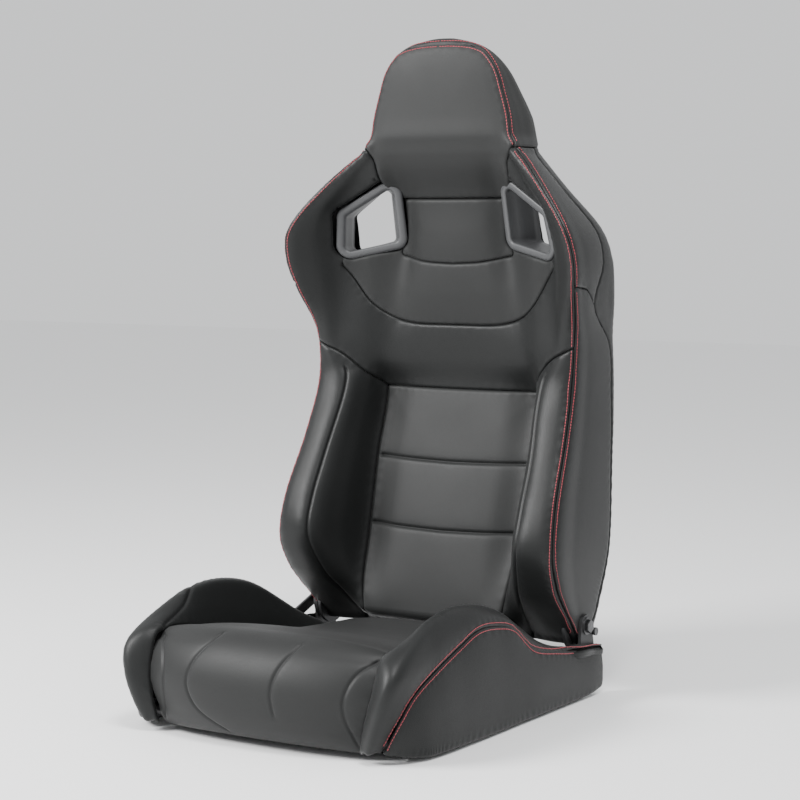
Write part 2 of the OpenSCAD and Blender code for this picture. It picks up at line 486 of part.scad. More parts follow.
module seat_bolster_left() seat_bolster();
module seat_bolster_right() mirror([1, 0, 0]) seat_bolster();

module box_tube(l, w, h) difference() {
    cube([w, l, h]);
    translate([2, -1, 2]) cube([w - 4, l + 2, h - 4]);
}
nut_y = [hinge_y - 32, hinge_y - 14];
module screw_holes(d) for (y = nut_y) translate([rail_in + rail_w / 2, y, tube_z]) rotate([0, 90, 0])
    cylinder(d = d, h = rail_w);
module base_rail() steel() difference() {
    translate([rail_in, rail_y0, rail_lift]) box_tube(rail_y1 - rail_y0, rail_w, rail_h);
    screw_holes(9);
    // mitred front end, inside the rounded corner of the padding
    translate([0, 0, rail_lift - 1]) linear_extrude(rail_h + 2)
        polygon([[rail_in + 2, rail_y0 - 1], [rail_x + 1, rail_y0 - 1], [rail_x + 1, rail_y0 + rail_w + 6]]);
}
module base_rail_left() base_rail();
module base_rail_right() mirror([1, 0, 0]) base_rail();
module boss_places(y) for (s = [-1, 1]) translate([s * mount_dx / 2, y, 0]) children();
cross_h = min(rail_h - 5, rail_h / 2 + tube_d / 2 - 1);  // clear under the springs
module cross_member(y) steel() difference() {
    translate([-rail_in, y + cross_w / 2, rail_lift]) rotate([0, 0, -90])
        box_tube(2 * rail_in, cross_w, cross_h);
    boss_places(y) translate([0, 0, rail_lift - 1]) cylinder(d = boss_d - 8 + 0.2, h = 6);
}
module cross_member_front() cross_member(rail_mid - mount_dy / 2);
module cross_member_rear() cross_member(rail_mid + mount_dy / 2);
module mounting_bosses() zinc() for (s = [-1, 1]) boss_places(rail_mid + s * mount_dy / 2) difference() {
    union() {
        cylinder(d = boss_d, h = rail_lift);
        cylinder(d = boss_d - 8, h = rail_lift + 14);
    }
    translate([0, 0, -1]) cylinder(d = mount_hole_d, h = rail_lift + 16);
}
module base_tube(y) steel() difference() {
    stick([-rail_in, y, tube_z], [rail_in, y, tube_z], tube_d);
    stick([-rail_in - 1, y, tube_z], [rail_in + 1, y, tube_z], tube_d - 2 * tube_t);
}
module nose_tube() base_tube(nose_tube_y);
module heel_tube() base_tube(heel_tube_y);
spring_x = [-135, -45, 45, 135];
spring_l = heel_tube_y - nose_tube_y;
module seat_springs() zinc() for (x = spring_x) translate([x, nose_tube_y, spring_z]) rotate([0, 0, 90])
    sinuous(spring_l, 8, 44);
module spring_clips() zinc() for (x = spring_x) for (y = [nose_tube_y, heel_tube_y]) difference() {
    translate([x + (y == nose_tube_y ? -7.6 : 2), y - 5, tube_z + tube_d / 2 - 1.5])
        cube([5.6, 10, wire_d + 4]);
    stick([-rail_in, y, tube_z], [rail_in, y, tube_z], tube_d + 0.1);
    translate([x - 20, y, spring_z]) rotate([0, 90, 0]) cylinder(d = wire_d + 0.6, h = 40);
}
module bracket_plate(r) linear_extrude(plate_t) difference() {
    union() {
        translate([hinge_y, hinge_z]) circle(r = r, $fn = 64);
        polygon([[hinge_y - r, hinge_z], [hinge_y - r * 1.1, foam_z + 26], [hinge_y - 41, foam_z],
            [hinge_y - 41, rail_lift + 1],
            [rail_y1, rail_lift + 1], [rail_y1 + 24, foam_z], [hinge_y + r * 1.6, foam_z + 26], [hinge_y +
                r, hinge_z]]);
    }
    children();
    for (y = nut_y) translate([y, tube_z]) circle(d = 9);
}
module countersinks() for (y = nut_y) translate([plate_x - 4, y, tube_z]) rotate([0, 90, 0])
    rotate_extrude() polygon([[0, 0], [4.6, 0], [8.6, 4.1], [0, 4.1]]);
module hinge_bracket_left() steel() difference() {
    side_plate(rail_x) bracket_plate(bracket_r) { hinge_eye(pivot_d + 0.2); stop_eye(stop_d + 0.2); }
    countersinks();
}
module stop_eye(d) translate([hinge_y + stop_r * cos(stop_a), hinge_z - stop_r * sin(stop_a)])
    circle(d = d);
module hinge_bracket_right() steel() difference() {
    side_plate(-plate_x) bracket_plate(bracket_r + 3) hinge_eye(shaft_d + 0.4);
    mirror([1, 0, 0]) countersinks();
}
module bracket_screws() zinc() for (s = [0, 1]) mirror([s, 0, 0]) for (y = nut_y)
    translate([plate_x, y, tube_z]) rotate([0, -90, 0]) rotate_extrude() polygon([[0, 0], [8, 0], [4, 4],
        [4, 18], [0, 18]]);
module bracket_nuts() zinc() for (s = [0, 1]) mirror([s, 0, 0]) for (y = nut_y)
    translate([rail_x - 2.1 - 7, y, tube_z]) rotate([0, 90, 0]) difference() {
    cylinder(d = 15, h = 7, $fn = 6);
    translate([0, 0, -1]) cylinder(d = 8.1, h = 9);
}
module pivot_bolt() zinc() translate([0, hinge_y, hinge_z]) rotate([0, 90, 0]) {
    translate([0, 0, arm_x - plate_t - 12]) cylinder(d = pivot_d, h = plate_x + 2 - arm_x + plate_t + 12,
        $fn = 64);
    translate([0, 0, plate_x + 2]) cylinder(d = 20, h = 5.5, $fn = 6);
}
module pivot_washer() zinc() tube_x(plate_x, plate_x + 2, 26, pivot_d + 0.2);
module pivot_nut() zinc() translate([arm_x - plate_t - 11, hinge_y, hinge_z]) rotate([0, 90, 0])
    difference() {
    cylinder(d = 21, h = 10, $fn = 6);
    translate([0, 0, -1]) cylinder(d = pivot_d, h = 12, $fn = 64);
}
module stop_pin() zinc() translate([0, hinge_y + stop_r * cos(stop_a), hinge_z - stop_r * sin(stop_a)])
    rotate([0, 90, 0]) {
    translate([0, 0, arm_x - plate_t + 0.5]) cylinder(d = stop_d, h = plate_x - arm_x + plate_t - 0.5);
    translate([0, 0, plate_x]) cylinder(d = stop_d + 4, h = 4);
}

// ---- release lever ---------------------------------------------------------------------------
lever_x = half_w + 1.5;
module on_shaft() translate([0, hinge_y, hinge_z]) children();
module release_lever() steel() on_shaft() {
    translate([-lever_x - 4, 0, 0]) rotate([lever_a, 0, 0]) rotate([90, 0, 90]) linear_extrude(4) {
        circle(d = lever_w + 8);
        translate([-lever_l + 12, -lever_w / 2]) square([lever_l - 12, lever_w]);
    }
    translate([-lever_x, 0, 0]) rotate([0, 90, 0]) difference() {
        cylinder(d = shaft_d, h = lever_x - arm_x + plate_t + 12);
        translate([0, 0, lever_x - arm_x + plate_t + 5]) rotate_extrude() translate([shaft_d / 2 - 1, 0])
            square([2, 2]);
    }
}
module lever_grip() color([0.06, 0.06, 0.065]) on_shaft() translate([-lever_x - 9, 0, 0]) rotate([lever_a,
    0, 0])
    rotate([90, 0, 90]) difference() {
    linear_extrude(8.6) {
        translate([-lever_l + 14, 0]) circle(d = lever_w + 10);
        translate([-lever_l + grip_l, 0]) circle(d = lever_w + 4);
        polygon([[-lever_l + 14, -lever_w / 2 - 5], [-lever_l + grip_l, -lever_w / 2 - 2], [-lever_l +
            grip_l, lever_w / 2 + 2],
            [-lever_l + 14, lever_w / 2 + 5]]);
    }
    translate([-lever_l + 11.9, -lever_w / 2 - 0.1, 4.9]) cube([grip_l + 40, lever_w + 0.2, 5]);
}
module shaft_clip() zinc() tube_x(-arm_x + plate_t + 5.2, -arm_x + plate_t + 6.8, shaft_d + 8,
    shaft_d - 1.8);
// coiled return spring between the lever and the bracket
module lever_spring() zinc() for (i = [0 : 3]) translate([-plate_x - 1.4 - 2 * i, hinge_y, hinge_z])
    rotate([0, 90, 0])
    rotate_extrude() translate([8, 0]) circle(d = 1.6, $fn = 16);

head_pad();
neck_pad();
yoke_pad();
chest_pad();
back_insert();
back_bolster_left();
back_bolster_right();
back_cover();
slot_bezel_front_left();
slot_bezel_front_right();
slot_bezel_rear_left();
slot_bezel_rear_right();
back_hoop();
head_plate();
shoulder_wire_left();
shoulder_wire_right();
back_upper_tube();
back_lower_tube();
lumbar_springs();
lumbar_clips();
hinge_arm_left();
hinge_arm_right();
pivot_bush();
recliner_rotor();
seat_cushion();
seat_bolster_left();
seat_bolster_right();
base_rail_left();
base_rail_right();
cross_member_front();
cross_member_rear();
nose_tube();
heel_tube();
seat_springs();
spring_clips();
mounting_bosses();
hinge_bracket_left();
hinge_bracket_right();
bracket_screws();
bracket_nuts();
pivot_bolt();
pivot_washer();
pivot_nut();
stop_pin();
recliner_housing();
release_lever();
lever_grip();
shaft_clip();
lever_spring();
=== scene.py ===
"""Reclining sport seat: sewn cover panels, top stitching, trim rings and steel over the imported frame.

Sizes are in millimetres while a shape is worked out, and become metres when its mesh is made.
X is the occupant's left, -Y is the way the seat faces, Z is up.
"""

import json
import logging
import math
from dataclasses import dataclass, field
from enum import Enum
from typing import Any, Iterable, Sequence

import bpy
import numpy as np
from mathutils import Matrix, Vector
from mathutils.bvhtree import BVHTree
from mathutils.geometry import delaunay_2d_cdt


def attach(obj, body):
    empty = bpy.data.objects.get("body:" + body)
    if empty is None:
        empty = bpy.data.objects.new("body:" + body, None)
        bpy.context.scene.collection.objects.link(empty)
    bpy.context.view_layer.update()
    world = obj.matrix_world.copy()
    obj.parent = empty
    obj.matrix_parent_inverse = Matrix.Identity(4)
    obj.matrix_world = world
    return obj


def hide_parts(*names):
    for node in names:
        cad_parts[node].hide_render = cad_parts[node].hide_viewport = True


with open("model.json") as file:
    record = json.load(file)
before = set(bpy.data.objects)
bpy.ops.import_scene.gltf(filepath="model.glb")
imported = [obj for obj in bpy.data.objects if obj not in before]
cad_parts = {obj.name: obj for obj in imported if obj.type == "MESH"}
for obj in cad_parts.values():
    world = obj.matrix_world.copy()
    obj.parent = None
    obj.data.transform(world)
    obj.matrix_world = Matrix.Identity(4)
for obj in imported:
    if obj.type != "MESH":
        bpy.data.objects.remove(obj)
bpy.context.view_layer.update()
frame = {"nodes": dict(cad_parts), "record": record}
MM = 0.001
log = logging.getLogger("seat")
Pairs = Sequence[tuple[float, float]]


class Slot(Enum):
    """The record's material slots."""

    LEATHER = "leatherette"
    PLASTIC = "trim_plastic"
    PAINT = "black_paint"
    ZINC = "zinc_steel"
    BRONZE = "bronze"


class Body(Enum):
    """The bodies that pieces ride on."""

    BASE = "seat_base"
    BACK = "backrest"


# ---- shader nodes ---------------------------------------------------------------------------------


class Wire:
    """One shader socket. Sums and products on it add Math nodes, or Vector Math nodes for vectors."""

    def __init__(self, board: "Board", socket: bpy.types.NodeSocket) -> None:
        """Wrap a socket.

        Args:
            board: the material's node board.
            socket: the output socket.
        """
        self.board = board
        self.socket = socket

    @property
    def is_vector(self) -> bool:
        """Whether the socket carries three numbers."""
        return self.socket.type in {"VECTOR", "RGBA"}

    def _join(self, operation: str, other: Any, swapped: bool = False) -> "Wire":
        """Add the node for one operation.

        Args:
            operation: the node's operation name.
            other: the second term, a wire, a number or three numbers.
            swapped: whether the other term comes first.

        Returns:
            The result.
        """
        first, second = (other, self) if swapped else (self, other)
        if self.is_vector or getattr(other, "is_vector", False) or isinstance(other, tuple):
            wide = [(v,) * 3 if isinstance(v, (int, float)) else v for v in (first, second)]
            return self.board.add("ShaderNodeVectorMath", {"operation": operation}, {0: wide[0], 1: wide[1]})
        return self.board.add("ShaderNodeMath", {"operation": operation}, {0: first, 1: second})

    def __add__(self, other: Any) -> "Wire":
        """Sum."""
        return self._join("ADD", other)

    def __radd__(self, other: Any) -> "Wire":
        """Sum with this term second."""
        return self._join("ADD", other, True)

    def __sub__(self, other: Any) -> "Wire":
        """Difference."""
        return self._join("SUBTRACT", other)

    def __rsub__(self, other: Any) -> "Wire":
        """Difference with this term second."""
        return self._join("SUBTRACT", other, True)

    def __mul__(self, other: Any) -> "Wire":
        """Product."""
        return self._join("MULTIPLY", other)

    def __rmul__(self, other: Any) -> "Wire":
        """Product with this term second."""
        return self._join("MULTIPLY", other, True)

    def __pow__(self, other: Any) -> "Wire":
        """Power."""
        return self._join("POWER", other)


class Board:
    """The node tree of one material."""

    def __init__(self, name: str) -> None:
        """Make an empty material with a Principled shader.

        Args:
            name: the material's name.
        """
        self.material = bpy.data.materials.new(name)
        self.material.use_nodes = True
        self.tree = self.material.node_tree
        self.shader = self.tree.nodes["Principled BSDF"]

    def add(self, kind: str, settings: dict[str, Any] | None = None, sockets: dict[Any, Any] | None = None,
            output: str | int = 0) -> Wire:
        """Add a node of any type.

        Args:
            kind: the node's type.
            settings: its settings, set first; "stops" gives a ramp's (place, grey) pairs.
            sockets: values or wires for its inputs.
            output: which output to return.

        Returns:
            The chosen output.
        """
        node = self.tree.nodes.new(kind)
        for key, value in (settings or {}).items():
            if key == "stops":
                ramp = node.color_ramp
                for element, (place, grey) in zip((ramp.elements[0], ramp.elements[1]), value):
                    element.position, element.color = place, (grey, grey, grey, 1)
            else:
                setattr(node, key, value)
        for key, value in (sockets or {}).items():
            self.feed(node.inputs[key], value)
        return Wire(self, node.outputs[output])

    def feed(self, socket: bpy.types.NodeSocket, value: Any) -> None:
        """Set a socket's value, or link a wire to it.

        Args:
            socket: the input socket.
            value: a wire, a number or a tuple.
        """
        if isinstance(value, Wire):
            self.tree.links.new(value.socket, socket)
        elif isinstance(value, tuple) and socket.type == "RGBA" and len(value) == 3:
            socket.default_value = (*value, 1)
        else:
            socket.default_value = value

    def dress(self, **sockets: Any) -> None:
        """Feed the shader's sockets, with underscores for spaces.

        Args:
            sockets: a value or wire for each socket.
        """
        for key, value in sockets.items():
            self.feed(self.shader.inputs[key.replace("_", " ")], value)

    def place(self) -> Wire:
        """Where the surface is, in metres."""
        return self.add("ShaderNodeTexCoord", output="Object")

    def noise(self, scale: float, detail: float = 2, where: Wire | None = None, rough: float = 0.5) -> Wire:
        """Noise from 0 to 1.

        Args:
            scale: features to a metre.
            detail: octaves.
            where: the place to read it at.
            rough: how strong the fine octaves are.

        Returns:
            The noise value.
        """
        return self.add("ShaderNodeTexNoise", None, {"Vector": where or self.place(), "Scale": scale,
                                                     "Detail": detail, "Roughness": rough})

    def blend(self, factor: Wire, low: Any, high: Any) -> Wire:
        """Mix two colours.

        Args:
            factor: 0 gives low and 1 gives high.
            low: a colour or wire.
            high: a colour or wire.

        Returns:
            The mixed colour.
        """
        return self.add("ShaderNodeMix", {"data_type": "RGBA"}, {0: factor, 6: low, 7: high}, output=2)

    def ramp(self, factor: Wire, low: float, high: float) -> Wire:
        """A 0 to 1 step between two values.

        Args:
            factor: the value to read.
            low: where the step starts.
            high: where it ends.

        Returns:
            The stepped value.
        """
        return self.add("ShaderNodeMapRange", None, {0: factor, 1: low, 2: high})

    def bump(self, height: Wire, depth: float, strength: float = 1.0, under: Wire | None = None) -> Wire:
        """A bumped normal.

        Args:
            height: the height from 0 to 1.
            depth: the relief in metres.
            strength: how much of it shows.
            under: a normal to add to.

        Returns:
            The normal.
        """
        sockets: dict[str, Any] = {"Height": height, "Distance": depth, "Strength": strength}
        if under is not None:
            sockets["Normal"] = under
        return self.add("ShaderNodeBump", None, sockets)

    def worn(self, low: float, high: float) -> Wire:
        """A mask of outer edges.

        Args:
            low: the pointiness where it starts.
            high: the pointiness where it is full.

        Returns:
            The mask.
        """
        return self.ramp(self.add("ShaderNodeNewGeometry", output="Pointiness"), low, high)


@dataclass(frozen=True)
class Leather:
    """Coated leather cloth: small pebbled grain, soft sheen, paler and smoother where it is rubbed."""

    name: str
    colour: tuple[float, float, float]
    rubbed: tuple[float, float, float]
    roughness: float = 0.46
    grain: float = 900.0
    relief: float = 0.00022

    def build(self) -> bpy.types.Material:
        """The finished material."""
        board = Board(self.name)
        where = board.place()
        drift = where + board.add("ShaderNodeTexNoise", None, {"Vector": where, "Scale": 160.0},
                                  output="Color") * 0.0022
        cells = board.add("ShaderNodeTexVoronoi", {"feature": "SMOOTH_F1"},
                          {"Vector": drift, "Scale": self.grain,
                                                                            "Smoothness": 0.35})
        pores = board.noise(2600.0, 2)
        creases = board.noise(120.0, 3, where=drift, rough=0.6)
        clouds = board.noise(7.0, 3)
        patches = board.noise(38.0, 2)
        edge = board.worn(0.505, 0.56)
        tone = board.blend(clouds * 0.55 + patches * 0.25, self.colour, self.rubbed)
        tone = board.blend(edge * 0.5, tone, tuple(min(1.0, c * 1.7) for c in self.rubbed))
        pits = board.ramp(cells, 0.25, 0.75)
        board.dress(
            Base_Color=board.blend(pits * 0.35, tone, tuple(c * 0.6 for c in self.colour)),
            Roughness=self.roughness + (clouds - 0.5) * 0.16 + pits * 0.1 - edge * 0.08,
            Normal=board.bump(1.0 - cells * 0.75 - pores * 0.2 + creases * 0.35, self.relief, 0.8),
            IOR=1.45, Specular_IOR_Level=0.26, Sheen_Weight=0.04, Sheen_Roughness=0.4)
        return board.material


@dataclass(frozen=True)
class Thread:
    """Twisted polyester sewing thread."""

    name: str
    colour: tuple[float, float, float]

    def build(self) -> bpy.types.Material:
        """The finished material."""
        board = Board(self.name)
        twist = board.add("ShaderNodeTexWave", {"bands_direction": "DIAGONAL"},
                          {"Scale": 900.0, "Distortion": 1.5})
        fluff = board.noise(3200.0, 2)
        board.dress(Base_Color=board.blend(twist * 0.4 + board.noise(60.0) * 0.4, self.colour,
                                           tuple(c * 0.45 for c in self.colour)),
                    Roughness=0.55 + fluff * 0.25, Sheen_Weight=0.35,
                    Normal=board.bump(twist * 0.7 + fluff * 0.3, 0.0002))
        return board.material


@dataclass(frozen=True)
class Plastic:
    """Moulded plastic with a fine spark-eroded texture, polished a little on its edges."""

    name: str
    colour: tuple[float, float, float]
    roughness: float = 0.42

    def build(self) -> bpy.types.Material:
        """The finished material."""
        board = Board(self.name)
        grain = board.noise(1500.0, 3)
        haze = board.noise(14.0, 3)
        edge = board.worn(0.51, 0.58)
        board.dress(Base_Color=board.blend(haze * 0.6 + edge * 0.4, self.colour,
                                           tuple(c * 1.35 for c in self.colour)),
                    Roughness=self.roughness + grain * 0.12 - edge * 0.12,
                    Normal=board.bump(grain, 0.00012, 0.7), IOR=1.49)
        return board.material


@dataclass(frozen=True)
class Metal:
    """Steel or bronze, bare, plated or painted, with mill grain or orange peel and rubbed edges."""

    name: str
    colour: tuple[float, float, float]
    rubbed: tuple[float, float, float]
    metallic: float
    roughness: float
    peel: float = 260.0

    def build(self) -> bpy.types.Material:
        """The finished material."""
        board = Board(self.name)
        spangle = board.add("ShaderNodeTexVoronoi", None, {"Vector": board.place(), "Scale": self.peel})
        scuffs = board.noise(55.0, 4, rough=0.7)
        edge = board.worn(0.52, 0.62) * board.ramp(scuffs, 0.35, 0.65)
        board.dress(Base_Color=board.blend(edge * 0.8 + scuffs * 0.12, self.colour, self.rubbed),
                    Metallic=self.metallic + edge * (1 - self.metallic),
                    Roughness=self.roughness + scuffs * 0.18 - spangle * 0.05,
                    Normal=board.bump(board.noise(self.peel * 3, 2), 0.00008, 0.8))
        return board.material


LEATHER = Leather("charcoal_leather", (0.0088, 0.0094, 0.0093), (0.014, 0.0146, 0.0145), 0.38)
SMOOTH_LEATHER = Leather("smooth_centre_leather", (0.0145, 0.0150, 0.0148), (0.021, 0.0216, 0.0214), 0.46,
                         1400.0, 0.00012)
RED_THREAD = Thread("red_thread", (0.50, 0.022, 0.045))
TRIM = Plastic("satin_grey_plastic", (0.05, 0.051, 0.053))
GRIP = Plastic("black_grip_plastic", (0.018, 0.018, 0.019), 0.5)
PAINTED = Metal("black_painted_steel", (0.012, 0.0124, 0.013), (0.08, 0.08, 0.083), 0.0, 0.4)
OXIDE = Metal("black_oxide_steel", (0.035, 0.035, 0.037), (0.2, 0.2, 0.205), 1.0, 0.34, 420.0)
ZINC = Metal("zinc_plated_steel", (0.56, 0.57, 0.60), (0.7, 0.7, 0.72), 1.0, 0.3, 420.0)
BRONZE = Metal("sintered_bronze", (0.50, 0.33, 0.15), (0.62, 0.45, 0.25), 1.0, 0.36, 700.0)
_built: dict[str, bpy.types.Material] = {}


def finish(kind: Leather | Thread | Plastic | Metal) -> bpy.types.Material:
    """A finish's material, built once.

    Args:
        kind: the finish.

    Returns:
        Its material.
    """
    if kind.name not in _built:
        _built[kind.name] = kind.build()
    return _built[kind.name]


# ---- curves and sheets ----------------------------------------------------------------------------


class Profile:
    """Smooth curve through (place, value) keys, the same as the frame's own curves."""

    def __init__(self, keys: Pairs) -> None:
        """Fit the curve.

        Args:
            keys: places in rising order, with their values.
        """
        self.places = np.array([k[0] for k in keys], float)
        self.values = np.array([k[1] for k in keys], float)
        step, rise = np.diff(self.places), np.diff(self.values)
        self.slopes = np.concatenate([[rise[0] / step[0]], (rise[:-1] + rise[1:]) / (step[:-1] + step[1:]),
                                      [rise[-1] / step[-1]]])

    def __call__(self, at: Any) -> np.ndarray:
        """The curve's value, held level past its ends."""
        t = np.clip(np.asarray(at, float), self.places[0], self.places[-1])
        i = np.clip(np.searchsorted(self.places, t, "right") - 1, 0, len(self.places) - 2)
        h = self.places[i + 1] - self.places[i]
        s = (t - self.places[i]) / h
        return ((2 * s**3 - 3 * s**2 + 1) * self.values[i] + (s**3 - 2 * s**2 + s) * h * self.slopes[i]
                + (3 * s**2 - 2 * s**3) * self.values[i + 1] + (s**3 - s**2) * h * self.slopes[i + 1])


def mix(a: Any, b: Any, s: Any) -> Any:
    """The value a share s of the way from a to b."""
    return a + (b - a) * s


def smooth_line(points: Any, per_span: int | Sequence[int], level_ends: bool = False) -> np.ndarray:
    """A smooth line through points.

    Args:
        points: the points, in two or three dimensions.
        per_span: steps between neighbouring points, one number or one for each span.
        level_ends: whether the line leaves its ends along X only.

    Returns:
        The points of the line.
    """
    p = np.asarray(points, float)
    h = np.sqrt(np.linalg.norm(np.diff(p, axis=0), axis=1))[:, None] + 1e-9
    slope = np.diff(p, axis=0) / h
    m = np.concatenate([slope[:1], (slope[:-1] * h[1:] + slope[1:] * h[:-1]) / (h[:-1] + h[1:]), slope[-1:]])
    if level_ends:
        m[0][1] = m[-1][1] = 0.0
    spans = [per_span] * (len(p) - 1) if isinstance(per_span, int) else per_span
    out = []
    for i, n in enumerate(spans):
        s = (np.arange(n) / n)[:, None]
        out.append((2 * s**3 - 3 * s**2 + 1) * p[i] + (s**3 - 2 * s**2 + s) * h[i] * m[i]
                   + (3 * s**2 - 2 * s**3) * p[i + 1] + (s**3 - s**2) * h[i] * m[i + 1])
    return np.concatenate([*out, p[-1:]])


def resample(line: np.ndarray, step: float) -> np.ndarray:
    """Even points along a line.

    Args:
        line: the line's points.
        step: the distance between the new points.

    Returns:
        The new points, with the line's ends kept.
    """
    run = np.concatenate([[0], np.cumsum(np.linalg.norm(np.diff(line, axis=0), axis=1))])
    at = np.linspace(0, run[-1], max(2, int(round(run[-1] / step)) + 1))
    return np.stack([np.interp(at, run, line[:, k]) for k in range(line.shape[1])], axis=1)


def distance(points: np.ndarray, lines: Iterable[np.ndarray]) -> tuple[np.ndarray, np.ndarray]:
    """How far points are from the nearest of some lines.

    Args:
        points: the points.
        lines: open lines of the same dimension.

    Returns:
        The distances, and how far along its line each nearest place is.
    """
    best = np.full(len(points), 1e9)
    along = np.zeros(len(points))
    for line in lines:
        a, d = line[:-1], np.diff(line, axis=0)
        length = np.maximum(np.linalg.norm(d, axis=1), 1e-9)
        run = np.concatenate([[0], np.cumsum(length)[:-1]])
        for start in range(0, len(points), 4000):
            p = points[start:start + 4000]
            s = np.clip(((p[:, None] - a) * d).sum(2) / length**2, 0, 1)
            gap = np.linalg.norm(p[:, None] - a - s[..., None] * d, axis=2)
            i = gap.argmin(1)
            rows = np.arange(len(p))
            near = gap[rows, i]
            better = near < best[start:start + 4000]
            best[start:start + 4000][better] = near[better]
            along[start:start + 4000][better] = (run[i] + s[rows, i] * length[i])[better]
    return best, along


def inside(points: np.ndarray, loop: np.ndarray) -> np.ndarray:
    """Which points lie inside a closed outline.

    Args:
        points: the points, in two dimensions.
        loop: the outline's corners.

    Returns:
        A truth value for each point.
    """
    a, b = loop, np.roll(loop, -1, axis=0)
    x, y = points[:, :1], points[:, 1:]
    crosses = (a[:, 1] > y) != (b[:, 1] > y)
    with np.errstate(divide="ignore", invalid="ignore"):
        at = a[:, 0] + (y - a[:, 1]) * (b[:, 0] - a[:, 0]) / (b[:, 1] - a[:, 1])
    return (crosses & (x < at)).sum(1) % 2 == 1


class Sheet:
    """A curved surface laid out flat: a point on it is (girth across its row, place along its rows)."""

    def __init__(self, along: np.ndarray, table: np.ndarray, mirrored: bool = False,
                 turned: bool = False) -> None:
        """Take a table of surface points.

        Args:
            along: the rows' places, rising.
            table: rows by columns of points; the first column is where the girth is zero.
            mirrored: whether negative girths give the mirror image in X.
            turned: whether the outside is on the other side of the sheet.
        """
        self.outward = -1.0 if turned else 1.0
        self.along = along
        self.table = table
        self.mirrored = mirrored
        steps = np.linalg.norm(np.diff(table, axis=1), axis=2)
        self.girth = np.concatenate([np.zeros((len(table), 1)), np.cumsum(steps, axis=1)], axis=1)

    def _find(self, wanted: np.ndarray, along: np.ndarray, by: np.ndarray, last: int | None = None) -> tuple:
        """Rows and columns where a rising quantity reaches wanted values.

        Args:
            wanted: the values.
            along: the places along the rows.
            by: the quantity, one value for each table point.
            last: the last column to look at.

        Returns:
            The lower row, the share to the next row, and the column in both.
        """
        row = np.clip(np.searchsorted(self.along, along, "right") - 1, 0, len(self.along) - 2)
        share = np.clip((along - self.along[row]) / (self.along[row + 1] - self.along[row]), 0, 1)
        columns = np.arange(by.shape[1] if last is None else last + 1, dtype=float)
        found = np.empty((2, len(wanted)))
        for i in np.unique(row):
            here = row == i
            for k in (0, 1):
                found[k][here] = np.interp(wanted[here], by[i + k][: len(columns)], columns)
        return row, share, found

    def place(self, flat: np.ndarray) -> np.ndarray:
        """Points on the surface.

        Args:
            flat: (girth, along) pairs.

        Returns:
            The points in space.
        """
        girth, along = flat[:, 0], flat[:, 1]
        row, share, found = self._find(np.abs(girth) if self.mirrored else girth, along, self.girth)
        column = mix(found[0], found[1], share)
        left = np.clip(column.astype(int), 0, self.table.shape[1] - 2)
        over = (column - left)[:, None]
        ends = [mix(self.table[row + k, left], self.table[row + k, left + 1], over) for k in (0, 1)]
        out = mix(ends[0], ends[1], share[:, None])
        if self.mirrored:
            out[:, 0] *= np.where(girth < 0, -1, 1)
        return out

    def normal(self, flat: np.ndarray, reach: float = 2.5) -> np.ndarray:
        """Outward normals.

        Args:
            flat: (girth, along) pairs.
            reach: the distance over which the slope is taken.

        Returns:
            Unit vectors.
        """
        across = self.place(flat + (reach, 0)) - self.place(flat - (reach, 0))
        up = self.place(flat + (0, reach)) - self.place(flat - (0, reach))
        n = np.cross(across, up)
        return self.outward * n / np.maximum(np.linalg.norm(n, axis=1), 1e-9)[:, None]

    def column(self, index: int, along: np.ndarray) -> np.ndarray:
        """Flat points along one column of the table."""
        return np.stack([np.interp(along, self.along, self.girth[:, index]), along], axis=1)

    def at_value(self, pairs: Any, axis: int, first: int, last: int) -> np.ndarray:
        """Flat points where a coordinate has given values.

        Args:
            pairs: (coordinate, along) pairs.
            axis: 0 for X or 1 for Y, rising between the columns.
            first: the first column to look at.
            last: the last column.

        Returns:
            The flat points.
        """
        p = np.asarray(pairs, float)
        by = self.table[:, first:last + 1, axis]
        row, share, found = self._find(p[:, 0], p[:, 1], by)
        column = mix(found[0], found[1], share) + first
        left = np.clip(column.astype(int), 0, self.table.shape[1] - 2)
        girth = [mix(self.girth[row + k, left], self.girth[row + k, left + 1], column - left) for k in (0, 1)]
        return np.stack([mix(girth[0], girth[1], share), p[:, 1]], axis=1)


# ---- sewn panels ----------------------------------------------------------------------------------


@dataclass(frozen=True)
class Sewing:
    """How a panel's cover is sewn and stuffed."""

    roll: float = 4.5          # radius of the turned edge at a seam
    crown: float = 3.0         # how far the foam stands up away from the seams
    reach: float = 20.0        # how quickly it does so
    pucker: float = 0.35       # height of the gathers beside a seam
    wave: float = 17.0         # distance between gathers
    crease: float = 3.2        # depth of a sewn line inside a panel
    furrow: float = 0.6        # how far the top stitching pulls the cover in
    stitch_gap: float = 4.6    # from the seam to its row of top stitching
    thickness: float = 9.0     # foam and cover behind the face
    spacing: float = 5.0       # distance between mesh points

    def lift(self, gap: np.ndarray, along: np.ndarray) -> np.ndarray:
        """Height of the cover at a distance from its seam.

        Args:
            gap: the distance.
            along: the place along the seam.

        Returns:
            The height above the sheet.
        """
        turned = np.clip(1 - gap / self.roll, 0, 1)
        edge = self.roll * (1 - np.sqrt(1 - turned**2 * 0.98))
        gathers = self.pucker * np.sin(2 * np.pi * along / self.wave + np.sin(along / 23.0) * 2.2)
        return self.crown * (1 - np.exp(-gap / self.reach)) - edge + gathers * np.exp(-((gap - 6) / 5) ** 2)

    def groove(self, gap: np.ndarray) -> np.ndarray:
        """Depth of a sewn line at a distance from it."""
        return self.crease * np.exp(-((gap / 2.0) ** 2)) + 0.35 * self.crease * np.exp(-gap / 9.0)

    def pulled(self, gap: np.ndarray) -> np.ndarray:
        """Depth of the furrow that top stitching lies in, at a distance from the seam."""
        return self.furrow * np.exp(-(((gap - self.stitch_gap) / 1.1) ** 2))


Solid = tuple[np.ndarray, list]


